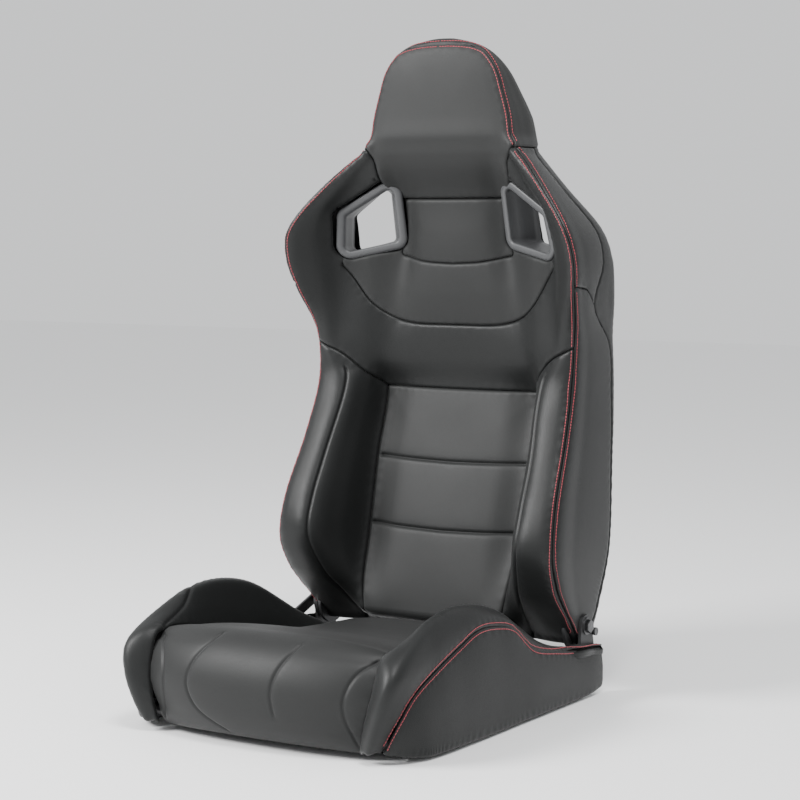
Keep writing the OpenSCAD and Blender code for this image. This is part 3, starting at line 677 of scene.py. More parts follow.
def join(*solids: Solid) -> Solid:
    """Several solids as one mesh."""
    points, faces, start = [], [], 0
    for verts, polys in solids:
        points.append(verts)
        faces += [[i + start for i in f] for f in polys]
        start += len(verts)
    return np.concatenate(points), faces


def mirror(solid: Solid) -> Solid:
    """The mirror image of a solid in X."""
    return solid[0] * (-1, 1, 1), [list(f)[::-1] for f in solid[1]]


def sideways(line: np.ndarray) -> np.ndarray:
    """Unit directions across a flat line, to its left.

    Args:
        line: the line's points.

    Returns:
        One direction for each point.
    """
    turn = np.gradient(line, axis=0)
    length = np.maximum(np.linalg.norm(turn, axis=1), 1e-9)
    return np.stack([-turn[:, 1], turn[:, 0]], axis=1) / length[:, None]


def sew(sheet: Sheet, outline: np.ndarray, how: Sewing, holes: Sequence[np.ndarray] = (),
        creases: Sequence[np.ndarray] = (), stitched: Sequence[np.ndarray] = ()) -> Solid:
    """One padded panel, turned under at its seams and closed behind.

    Args:
        sheet: the surface it lies on.
        outline: its closed outline, laid flat.
        how: its sewing.
        holes: closed outlines cut out of it.
        creases: sewn lines inside it.
        stitched: the parts of its edge that are top stitched.

    Returns:
        Its points and faces.
    """
    loops = [resample(np.concatenate([loop, loop[:1]]), how.spacing * 0.8)[:-1] for loop in (outline, *holes)]
    seams = [np.concatenate([loop, loop[:1]]) for loop in loops]
    folds = [resample(line, how.spacing * 0.8) for line in creases]

    def is_cloth(p: np.ndarray) -> np.ndarray:
        """Which flat points are on the panel."""
        keep = inside(p, loops[0])
        for hole in loops[1:]:
            keep &= ~inside(p, hole)
        return keep

    rows = []
    for lines, gaps in ((seams, (1.1, 2.6, how.stitch_gap, 7.5)), (folds, (1.3, 3.0, 5.5))):
        for line in lines:
            side = sideways(line)
            for gap in gaps:
                for sign in (-1, 1):
                    p = line + side * gap * sign
                    near = np.minimum(distance(p, seams)[0], distance(p, folds)[0] if folds else 1e9)
                    rows.append(p[(near > gap * 0.93) & is_cloth(p)])
    low, high = loops[0].min(0), loops[0].max(0)
    lines_up = np.arange(low[1], high[1], how.spacing * 0.866)
    grid = []
    for i, y in enumerate(lines_up):
        across_row = np.arange(low[0] + (i % 2) * how.spacing / 2, high[0], how.spacing)
        grid.append(np.stack([across_row, np.full(len(across_row), y)], axis=1))
    grid = np.concatenate(grid)
    grid = grid[is_cloth(grid)]
    near = distance(grid, seams)[0]
    if folds:
        near = np.minimum(near, distance(grid, folds)[0] + 2.0)
    grid = grid[near > 7.5 + how.spacing * 0.5]
    spread = np.concatenate([*loops, *folds, *rows, grid])
    edges, start = [], 0
    for loop in loops:
        edges += [(start + i, start + (i + 1) % len(loop)) for i in range(len(loop))]
        start += len(loop)
    for line in folds:
        edges += [(start + i, start + i + 1) for i in range(len(line) - 1)]
        start += len(line)
    done = delaunay_2d_cdt([Vector(p) for p in spread], edges, [], 0, 0.05)
    flat = np.array([tuple(v) for v in done[0]])
    tris = np.array([f for f in done[2] if len(f) == 3])
    tris = tris[is_cloth(flat[tris].mean(1))]
    used = np.unique(tris)
    index = np.zeros(len(flat), int)
    index[used] = np.arange(len(used))
    flat, tris = flat[used], index[tris]

    gap, along = distance(flat, seams)
    lift = how.lift(gap, along)
    if folds:
        lift -= how.groove(distance(flat, folds)[0])
    if len(stitched):
        lift -= how.pulled(distance(flat, stitched)[0])
    ground, up = sheet.place(flat), sheet.normal(flat)
    face = ground + up * lift[:, None]
    back = ground - up * np.minimum(how.thickness, how.roll + 1.5 + gap)[:, None]
    return close(face, back, tris, up)


def close(face: np.ndarray, back: np.ndarray, tris: np.ndarray, up: np.ndarray) -> Solid:
    """A closed solid between a face and its back.

    Args:
        face: the face's points.
        back: the matching points behind it.
        tris: the face's triangles.
        up: the outward direction at each point.

    Returns:
        The solid's points and faces.
    """
    a, b, c = face[tris[:, 0]], face[tris[:, 1]], face[tris[:, 2]]
    if (np.cross(b - a, c - a) * up[tris[:, 0]]).sum() < 0:
        tris = tris[:, ::-1]
    pairs = {}
    for t in tris.tolist():
        for i in range(3):
            pairs[(t[i], t[(i + 1) % 3])] = True
    n = len(face)
    rim = [[j, i, i + n, j + n] for i, j in pairs if (j, i) not in pairs]
    return np.concatenate([face, back]), tris.tolist() + (tris[:, ::-1] + n).tolist() + rim


def loft(rings: np.ndarray, cap: bool = True) -> Solid:
    """A closed skin through rings of equal length.

    Args:
        rings: rings by points.
        cap: whether the two ends are closed; if not, the last ring joins the first.

    Returns:
        The solid's points and faces.
    """
    m, n = rings.shape[:2]
    faces = [[i * n + j, i * n + (j + 1) % n, (i + 1) % m * n + (j + 1) % n, (i + 1) % m * n + j]
             for i in range(m - 1 if cap else m) for j in range(n)]
    if cap:
        faces += [list(range(n))[::-1], list(range((m - 1) * n, m * n))]
    points = rings.reshape(-1, 3)
    volume = sum(float(np.dot(np.cross(points[f[0]], points[f[k]]), points[f[k + 1]])) for f in faces
                 for k in range(1, len(f) - 1))
    return points, faces if volume > 0 else [f[::-1] for f in faces]


def stitches(spine: np.ndarray, up: np.ndarray, pitch: float = 4.6, length: float = 3.7,
             radius: float = 0.62) -> Solid:
    """A row of separate stitches.

    Args:
        spine: the row's line.
        up: the cover's normal along it.
        pitch: distance between stitches.
        length: length of one.
        radius: half the thread's thickness.

    Returns:
        The stitches' points and faces.
    """
    run = np.concatenate([[0], np.cumsum(np.linalg.norm(np.diff(spine, axis=0), axis=1))])
    solids = []
    for k in range(int(run[-1] / pitch)):
        at = (k + 0.5) * pitch
        here, ahead, n = (np.array([np.interp(v, run, q[:, i]) for i in range(3)])
                          for v, q in ((at, spine), (at + 1, spine), (at, up)))
        t = ahead - here
        if np.linalg.norm(t) < 1e-6:
            continue
        t /= np.linalg.norm(t)
        n = n - t * (n @ t)
        n /= max(np.linalg.norm(n), 1e-9)
        side = np.cross(t, n)
        rings = []
        for s, r, sink in ((-0.5, 0.45, 0.55), (-0.36, 0.9, 0.15), (0, 1.05, 0), (0.36, 0.9, 0.15),
                           (0.5, 0.45, 0.55)):
            centre = here + t * s * length + n * (0.5 - sink)
            rings.append([centre + radius * r * (math.cos(a) * side + math.sin(a) * n)
                          for a in np.arange(6) * math.pi / 3])
        solids.append(loft(np.array(rings)))
    return join(*solids)


def top_stitch(sheet: Sheet, seam: np.ndarray, inward: float, how: Sewing, cover: Solid) -> Solid:
    """Top stitching along one side of a seam, laid on the finished cover.

    Args:
        sheet: the sheet that the panel lies on.
        seam: the seam's line, laid flat.
        inward: +1 or -1, the side of the line that the panel is on.
        how: the panel's sewing.
        cover: the panel's own solid.

    Returns:
        The stitches.
    """
    line = resample(seam, 2.0)
    side = sideways(line)
    flat = line + side * how.stitch_gap * inward
    up = sheet.normal(flat)
    spine = sheet.place(flat)
    tree = BVHTree.FromPolygons([tuple(v) for v in cover[0]], cover[1])
    for i, (spot, n) in enumerate(zip(spine, up)):
        hit = tree.ray_cast(Vector(spot + n * 12), Vector(-n), 24.0)[0]
        if hit is not None:
            spine[i] = hit
    return stitches(spine, up)


def piece(name: str, solid: Solid, kind: Any, body: Body, replaced: Sequence[str] = ()) -> bpy.types.Object:
    """Args:
        name: the piece's name.
        solid: its points and faces, in millimetres.
        kind: its finish.
        body: the body that it rides on.
        replaced: the frame's nodes that it stands for.

    Returns:
        The object.
    """
    mesh = bpy.data.meshes.new(name)
    mesh.from_pydata((solid[0] * MM).tolist(), [], solid[1])
    mesh.polygons.foreach_set("use_smooth", [True] * len(mesh.polygons))
    mesh.materials.append(finish(kind))
    mesh.update()
    thing = bpy.data.objects.new(name, mesh)
    bpy.context.scene.collection.objects.link(thing)
    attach(thing, body.value)
    if replaced:
        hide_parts(*replaced)
    log.info("%s: %d points, %d faces", name, len(mesh.vertices), len(mesh.polygons))
    return thing


# ---- backrest -------------------------------------------------------------------------------------

HALF_W, BACK_H, HEAD_H = 246.0, 714.0, 159.0
HINGE_Y, HINGE_Z = 239.0, 107.0
HEAD_Z = HINGE_Z + BACK_H


@dataclass
class Backrest:
    """The padded backrest: its cover surface, panels, seams and stitching."""

    lap_z: float = 449.0
    low_z: float = 79.0
    tuck: float = 4.5          # how far the shell lies under the head panel
    sides: Sewing = Sewing(crown=2.0, reach=35.0, pucker=0.25)
    pads: Sewing = Sewing(crown=4.0, reach=24.0)
    flats: Sewing = Sewing(crown=3.0, reach=30.0, pucker=0.25, crease=4.0)
    keys: dict[str, Pairs] = field(default_factory=lambda: {
        "crest_x": ((-0.03, -18), (0.02, -15), (0.16, -6), (0.38, -17), (0.5, -22), (0.6, -18), (0.69, -3),
                    (0.76, 5), (0.825, -5), (0.91, -52), (1, -116)),
        "crest_y": ((-0.03, -10), (0.02, -44), (0.06, -74), (0.094, -95), (0.157, -114), (0.25, -102),
                    (0.38, -57),
                    (0.496, -27), (0.605, -27), (0.697, -61), (0.762, -78), (0.825, -86), (0.91, -67),
                    (1, -30)),
        "fall_x": ((-0.03, 148), (0.03, 158), (0.085, 171), (0.17, 183), (0.33, 182), (0.5, 173), (0.56, 190),
                   (0.74, 187), (0.85, 184), (0.923, 150), (1, 108)),
        "fall_y": ((-0.03, -4), (0.026, -48), (0.085, -92), (0.17, -120), (0.25, -104), (0.33, -76),
                   (0.41, -50),
                   (0.51, -22), (0.56, -23), (0.63, -16), (0.745, -17), (0.85, -41), (0.923, -38), (1, -34)),
        "edge_x": ((-0.03, 120), (0.09, 128), (0.2, 133), (0.5, 132), (0.62, 114), (0.78, 94), (0.89, 88),
                   (1, 90)),
        "edge_y": ((-0.03, -8), (0, -57), (0.18, -20), (0.33, 6), (0.47, 34), (0.54, 15), (0.62, 14),
                   (0.78, 19),
                   (0.886, 8), (0.923, -8), (0.965, -29), (1, -36)),
        "front_y": ((-0.03, -14), (-0.015, -45), (0, -60), (0.48, 31), (0.54, 27), (0.62, 17), (0.75, 6),
                    (0.886, 0), (0.923, -13), (0.965, -31), (1, -37)),
        "side_y": ((-0.03, 14), (0.02, 46), (0.27, 84), (0.48, 106), (0.585, 92), (0.665, 20), (0.75, 23),
                   (0.82, 16),
                   (0.88, 2), (0.93, -2), (1, 12)),
        "corner_y": ((-0.03, 44), (0.02, 61), (0.27, 96), (0.48, 124), (0.6, 112), (0.75, 66), (0.825, 45),
                     (0.91, 23), (1, 36)),
        "rear_y": ((-0.03, 58), (0.02, 76), (0.27, 112), (0.48, 134), (0.59, 128), (0.76, 89), (0.91, 63),
                   (1, 64)),
        "head_w": ((0, 126), (0.1, 124), (0.25, 121), (0.5, 110), (0.7, 99), (0.85, 81), (0.93, 62),
                   (0.98, 36), (1, 18)),
        "head_front": ((0, -37), (0.1, -36), (0.25, -35), (0.7, -35), (0.85, -34), (0.93, -32), (0.98, -26),
                       (1, -23)),
        "head_rear": ((0, 74), (0.1, 71), (0.25, 64), (0.5, 40), (0.7, 19), (0.85, 3), (0.93, -8),
                      (0.98, -14), (1, -17)),
    })
    spans: tuple[int, ...] = (5, 6, 6, 6, 7, 9, 9, 6, 8, 4, 4, 8, 8, 8)
    edge: int = 11
    fall: int = 23
    crest: int = 39
    wing: int = 62

    def __post_init__(self) -> None:
        """Lay out the cover surface."""
        curves = {name: Profile(keys) for name, keys in self.keys.items()}
        shares = np.linspace(-0.044, 0.985, 117)
        rows = [self._back_row(u, curves) for u in shares]
        heads = np.concatenate([np.linspace(0.03, 0.8, 22), np.linspace(0.82, 1, 16)])
        rows += [self._head_row(k, curves) for k in heads]
        along = np.concatenate([HINGE_Z + shares * BACK_H, HEAD_Z + heads * HEAD_H])
        table = np.array(rows)
        for _ in range(3):
            near = slice(106, 123)
            table[near, :, :2] = (table[105:122, :, :2] + 2 * table[near, :, :2] + table[107:124, :, :2]) / 4
        self.sheet = Sheet(along, table, mirrored=True)
        rear = table[:, self.wing:]
        self.rear_sheet = Sheet(along, np.concatenate([rear, rear[:, -2::-1] * (-1, 1, 1)], axis=1))

    def _row(self, half: Sequence[tuple[float, float]], z: float) -> np.ndarray:
        """One smooth half section at height z."""
        line = smooth_line(half, self.spans, level_ends=True)
        line[0, 0] = line[-1, 0] = 0.0
        return np.column_stack([line, np.full(len(line), z)])

    def _back_row(self, u: float, k: dict[str, Profile]) -> np.ndarray:
        """The section a share u of the way up the backrest."""
        c, e = HALF_W + float(k["crest_x"](u)), float(k["edge_x"](u))
        f = min(float(k["fall_x"](u)), c - 12)
        front, ye, yf, cy, sy = (float(k[n](u)) for n in ("front_y", "edge_y", "fall_y", "crest_y", "side_y"))
        corner, rear, w = max(float(k["corner_y"](u)), sy + 8), float(k["rear_y"](u)), c - 2
        half = [(0, front), (0.6 * e, mix(front, ye, 0.3)), (e, ye), (mix(e, f, 0.5), mix(ye, yf, 0.55)),
                (f, yf),
                (mix(f, c, 0.5), mix(yf, cy, 0.5) - 6), (c, cy), (c + 1, mix(cy, sy, 0.35)),
                (c, mix(cy, sy, 0.75)),
                (w, sy), (w - 2, mix(sy, corner, 0.6)), (w - 7, corner), (0.66 * w, mix(corner, rear, 0.55)),
                (0.33 * w, mix(corner, rear, 0.9)), (0, rear)]
        return self._row([(x, HINGE_Y + y) for x, y in half], HINGE_Z + u * BACK_H)

    def _head_row(self, s: float, k: dict[str, Profile]) -> np.ndarray:
        """The section a share s of the way up the head pad."""
        w, f, r = float(k["head_w"](s)), float(k["head_front"](s)), float(k["head_rear"](s))
        d = r - f
        half = [(0, f - 4), (0.45 * w, f - 3.4), (0.7 * w, f - 2), (0.79 * w, f - 1.4), (0.87 * w, f - 0.6),
                (0.94 * w, f + 0.2), (w - 1.5, f + min(3, 0.2 * d)), (w, f + 0.25 * d), (w, f + 0.42 * d),
                (w, r - 0.35 * d), (0.97 * w, r - 0.2 * d), (0.86 * w, r - 0.1 * d), (0.6 * w, r),
                (0.3 * w, r + 2.4),
                (0, r + 3)]
        return self._row([(x, HINGE_Y + y) for x, y in half], HEAD_Z + s * HEAD_H)

    def front(self, pairs: Pairs, per_span: int = 6) -> np.ndarray:
        """A smooth line over the front, from (x, z) places, laid flat."""
        return self.sheet.at_value(smooth_line(pairs, per_span), 0, 0, self.crest)

    def straight(self, pairs: Pairs) -> np.ndarray:
        """A line of straight runs over the front, from (x, z) places, laid flat."""
        return self.sheet.at_value(resample(np.asarray(pairs, float), 4.0), 0, 0, self.crest)

    def up(self, column: int, start: float, end: float) -> np.ndarray:
        """A line up one column of the sheet, laid flat."""
        return self.sheet.column(column, np.linspace(start, end, max(2, int(abs(end - start) / 4))))

    @staticmethod
    def both(half: np.ndarray) -> np.ndarray:
        """A closed outline from its right half, which starts and ends on the middle."""
        return np.concatenate([half, (half * (-1, 1))[::-1]])

    def slot_hole(self, grow: float) -> np.ndarray:
        """A harness slot's outline on the front, laid flat."""
        return self.sheet.at_value(HarnessSlot().outline(grow, 0.0), 0, 0, self.crest)

    @property
    def shoulder_seam(self) -> np.ndarray:
        """Seam from the insert out to the crest, between bolster and chest."""
        line = self.front([(132.5, self.lap_z), (171, 491), (190, 505), (206, 512), (222, 519)])
        return np.concatenate([line, self.up(self.crest, 521, 521.1)[:1]])

    @property
    def flank_seam(self) -> np.ndarray:
        """Seam down the outer side, from the crest back to the rear cover."""
        line = self.sheet.at_value(smooth_line([(216, 608), (234, 598), (252, 586)], 6), 1,
                                   self.crest, self.wing)
        return np.concatenate([self.up(self.crest, 612, 612.1)[:1], line, self.up(self.wing, 581, 581.1)[:1]])

    @property
    def yoke_seam(self) -> np.ndarray:
        """U-shaped seam under the yoke, from the middle outwards."""
        return self.front([(0, 548), (78, 550), (114, 560), (144, 582), (172, 620), (186, 638)])

    @property
    def neck_seam(self) -> np.ndarray:
        """Seam under the neck pad, from the middle outwards."""
        return self.front([(0, 642), (50, 645), (98, 655)])

    @property
    def collar_seam(self) -> np.ndarray:
        """Seam between head pad and shoulder, from the neck up to the crest."""
        return self.front([(88, 741), (104, 752), (112, 768), (116, 795), (124, 815)])

    @property
    def brow(self) -> np.ndarray:
        """Front edge of the head pad, from the collar up and over to the middle."""
        return np.concatenate([self.up(self.crest, 822, 940),
                               self.front([(88, 950), (76, 960), (58, 967), (30, 971), (0, 972)], 5)])

    def panels(self) -> dict[str, Solid]:
        """Every sewn panel, by the frame node that it stands for."""
        sheet, hole = self.sheet, self.slot_hole(12.4)
        other = hole * (-1, 1)
        e_line, c_line = self.up(self.edge, self.low_z, self.lap_z), self.up(self.crest, 521, self.low_z)
        bolster = np.concatenate([e_line, self.shoulder_seam, c_line])
        fall = self.up(self.fall, self.low_z + 6, 478)
        flank = np.concatenate([self.up(self.crest, self.low_z, 612), self.flank_seam,
                                self.up(self.wing, 581, self.low_z)])
        left = join(sew(sheet, bolster, self.pads, creases=[fall], stitched=[c_line]),
                    sew(sheet, flank, self.sides, stitched=[self.up(self.crest, self.low_z, 612)]))
        insert = self.both(np.concatenate([[[0, self.low_z]], e_line, [[0, self.lap_z]]]))
        across = [self.front([(0, z), (66, z + 1.5), (129, z + 4)]) for z in (338.0, 235.0)]
        across = [np.concatenate([(line * (-1, 1))[::-1][:-1], line]) for line in across]
        shoulder = self.up(self.crest, 521, 817)
        chest = self.both(np.concatenate([
            [[0, self.lap_z]], self.shoulder_seam, shoulder, self.collar_seam[::-1],
            self.straight([(88, 741), (112, 735), (150, 690), (180, 650)]), self.yoke_seam[::-1]]))
        wing = np.concatenate([self.up(self.crest, 612, 817), self.up(self.wing, 817, 581),
                               self.flank_seam[::-1]])
        wing_side = sew(sheet, wing, self.sides, stitched=[self.up(self.crest, 612, 817)])
        yoke = self.both(np.concatenate([self.yoke_seam,
                                         self.straight([(186, 640), (188, 650), (150, 672), (97, 672)]),
                                         self.neck_seam[::-1]]))
        neck = self.both(np.concatenate([self.neck_seam,
                                         self.straight([(98, 656), (97, 672), (88, 740), (0, 740)])]))
        face = self.both(np.concatenate([self.straight([(0, 741), (87, 741)]), self.collar_seam, self.brow]))
        return {
            "back_bolster_left": left,
            "back_bolster_right": mirror(left),
            "back_insert": sew(sheet, insert, self.flats, creases=across),
            "chest_pad": join(sew(sheet, chest, self.pads, holes=[hole, other],
                                  stitched=[shoulder, shoulder * (-1, 1)]),
                              wing_side, mirror(wing_side)),
            "yoke_pad": sew(sheet, yoke, self.flats, holes=[hole, other]),
            "neck_pad": sew(sheet, neck, self.flats, holes=[hole, other]),
            "head_pad": join(sew(sheet, face, self.flats, stitched=[self.brow, self.brow * (-1, 1)]),
                             self.head_shell()),
        }

    def head_shell(self) -> Solid:
        """The head pad's sides, top and rear, drawn in where its face is sewn on."""
        sheet = self.sheet
        along = np.concatenate([np.arange(817, 950, 4.0), np.arange(950, 979, 2.0), [980.0]])
        columns = np.arange(sheet.table.shape[1])
        brow = sheet.place(resample(self.brow, 4.0))
        brow = np.concatenate([brow, brow[::-1] * (-1, 1, 1)])
        rings = []
        for z in along:
            girth = np.array([np.interp(z, sheet.along, sheet.girth[:, k]) for k in columns])
            flat = np.stack([girth, np.full(len(girth), z)], axis=1)
            p, n = sheet.place(flat), sheet.normal(flat)
            gap = distance(p, [brow])[0]
            covered = (columns < self.crest) & (z < np.interp(p[:, 0], [0, 30, 58, 76, 90],
                                                              [972, 971, 967, 960, 946]))
            lift = np.where(covered, -self.tuck, self.sides.lift(gap, np.zeros_like(gap)) - 1)
            lift = lift - np.where(covered, 0, self.sides.pulled(gap)) - 3.0 * np.clip((819 - z) / 4, 0, 1)
            q = p + n * lift[:, None]
            rings.append(np.concatenate([q, q[-2:0:-1] * (-1, 1, 1)]))
        top = rings[-1]
        rings.append(mix(top.mean(0), top, 0.6) + (0, 0, 0.5))
        rings.append(mix(top.mean(0), top, 0.2) + (0, 0, 0.7))
        return loft(np.array(rings))

    def rear_cover(self) -> Solid:
        """The rear cover, one panel round the back."""
        sheet = self.rear_sheet
        last = sheet.table.shape[1] - 1
        z = np.linspace(self.low_z, 818, 180)
        outline = np.concatenate([sheet.column(0, z), sheet.column(last, z[::-1])])
        middle = last // 2
        slot = HarnessSlot()
        ring = slot.outline(6.0, slot.shift)
        spot = []
        for sign in (1, -1):
            girth = []
            for x, height in ring * (sign, 1):
                xs, gs = (np.array([np.interp(height, sheet.along, by[:, k]) for k in range(last + 1)])
                          for by in (sheet.table[..., 0], sheet.girth))
                girth.append(np.interp(-x, -xs, gs))
            spot.append(np.stack([girth, ring[:, 1]], axis=1))
        heights = np.linspace(140, 700, 60)
        ribs = [sheet.column(middle - 13, heights), sheet.column(middle + 13, heights)]
        return sew(sheet, outline, Sewing(crown=2.0, reach=30.0, thickness=5.0, roll=3.5, spacing=6.0),
                   holes=spot,
                   creases=ribs)

    def stitching(self, covers: dict[str, Solid]) -> Solid:
        """All the red top stitching of the backrest.

        Args:
            covers: the sewn panels that it lies on.

        Returns:
            The stitches.
        """
        low, mid, high = self.up(self.crest, 96, 519), self.up(self.crest, 523,
                                                               815), self.up(self.crest, 96, 610)
        bolster, chest, head = (covers[n] for n in ("back_bolster_left", "chest_pad", "head_pad"))
        rows = [top_stitch(self.sheet, low, 1, self.pads, bolster),
                top_stitch(self.sheet, mid, 1, self.pads, chest),
                top_stitch(self.sheet, high, -1, self.sides, bolster),
                top_stitch(self.sheet, self.up(self.crest, 614, 815), -1, self.sides, chest),
                top_stitch(self.sheet, self.brow, 1, self.flats, head),
                top_stitch(self.sheet, self.brow, -1, self.sides, head)]
        half = join(*rows)
        return join(half, mirror(half))

    def build(self) -> None:
        """Make and dress every piece of the backrest."""
        smooth = {"back_insert", "yoke_pad", "neck_pad", "head_pad"}
        covers = self.panels()
        for node, solid in covers.items():
            kind = SMOOTH_LEATHER if node in smooth else LEATHER
            piece(f"{node}_cover", solid, kind, Body.BACK, [node])
        piece("rear_cover", self.rear_cover(), LEATHER, Body.BACK, ["back_cover"])
        piece("back_top_stitching", self.stitching(covers), RED_THREAD, Body.BACK)
        HarnessSlot().build()


@dataclass
class HarnessSlot:
    """A moulded trim ring with its tunnel, and the flat ring behind it."""

    radius: float = 8.0
    shift: float = 18.0        # how far the tunnel's outer corners move outwards to the rear
    lean: float = 1.6          # how many times further its inner corners move
    wall: float = 3.0
    corners: tuple[tuple[float, float], ...] = ((107, 0.895), (167, 0.843), (173, 0.786), (108, 0.806))
    turns: tuple[tuple[float, float], ...] = ((60, 165), (0, 60), (-105, 0), (-180, -105))

    def outline(self, grow: float, shift: float) -> np.ndarray:
        """The rounded outline in X and Z.

        Args:
            grow: the distance outside the opening.
            shift: how far the outer corners are moved outwards; the inner ones are moved further.

        Returns:
            The outline's points.
        """
        arcs = []
        for i, ((x, u), (low, high)) in enumerate(zip(self.corners, self.turns)):
            a = np.radians(np.linspace(high, low, 9))
            x0 = x + shift * (1.0 if i in (1, 2) else self.lean)
            arcs.append(np.stack([x0 + (self.radius + grow) * np.cos(a),
                                  HINGE_Z + u * BACK_H + (self.radius + grow) * np.sin(a)], axis=1))
        between = np.array([[0.25], [0.5], [0.75]])
        return np.concatenate([np.concatenate([arc, mix(arc[-1], following[0], between)])
                               for arc, following in zip(arcs, arcs[1:] + arcs[:1])])

    def front_y(self, p: np.ndarray) -> np.ndarray:
        """Where the front plane is at (x, z) places."""
        return HINGE_Y + 17 - 0.42 * (p[:, 0] - 94) - 0.24 * (p[:, 1] - HINGE_Z - 0.78 * BACK_H)

    def rear_y(self, p: np.ndarray) -> np.ndarray:
        """Where the rear plane is at (x, z) places."""
        return HINGE_Y + 62 - 0.24 * (p[:, 0] - 94) - 0.22 * (p[:, 1] - HINGE_Z - 0.78 * BACK_H)

    def front_ring(self) -> Solid:
        """The rounded trim ring in one sweep with its tunnel."""
        loops = []
        for grow, back in ((11.2, 5.0), (12.0, 3.6), (12.0, 1.8), (11.2, 0.4), (9.6, -0.6), (6.5, -1.3),
                           (3.6, -1.0), (1.4, 0.2), (0.3, 2.2), (0.0, 5.0)):
            p = self.outline(grow, 0.0)
            loops.append(np.stack([p[:, 0], self.front_y(p) + back, p[:, 1]], axis=1))
        near, q = self.outline(0.0, 0.0), self.outline(0.0, self.shift)
        start = np.stack([near[:, 0], self.front_y(near), near[:, 1]], axis=1)
        end = np.stack([q[:, 0], self.rear_y(q), q[:, 1]], axis=1)
        loops += [mix(start, end, s) for s in (0.3, 0.55, 0.8, 1.0)]
        near, q = self.outline(self.wall, 0.0), self.outline(self.wall, self.shift)
        start = np.stack([near[:, 0], self.front_y(near) + 5, near[:, 1]], axis=1)
        end = np.stack([q[:, 0], self.rear_y(q), q[:, 1]], axis=1)
        loops += [mix(end, start, s) for s in (0.0, 0.5, 1.0)]
        return loft(np.array(loops), cap=False)

    def rear_ring(self) -> Solid:
        """The ring round the tunnel's rear end."""
        loops = []
        for grow, back in ((9.0, 0.4), (9.0, 2.6), (8.0, 3.7), (5.0, 4.2), (1.6, 3.8), (0.2, 2.4),
                           (0.0, 0.4)):
            p = self.outline(grow, self.shift)
            loops.append(np.stack([p[:, 0], self.rear_y(p) + back, p[:, 1]], axis=1))
        return loft(np.array(loops), cap=False)

    def build(self) -> None:
        """Make both sides' rings."""
        for side, turn in (("left", lambda s: s), ("right", mirror)):
            for place, solid in (("front", self.front_ring()), ("rear", self.rear_ring())):
                piece(f"{place}_slot_ring_{side}", turn(solid), TRIM, Body.BACK,
                      [f"slot_bezel_{place}_{side}"])


# ---- base -----------------------------------------------------------------------------------------


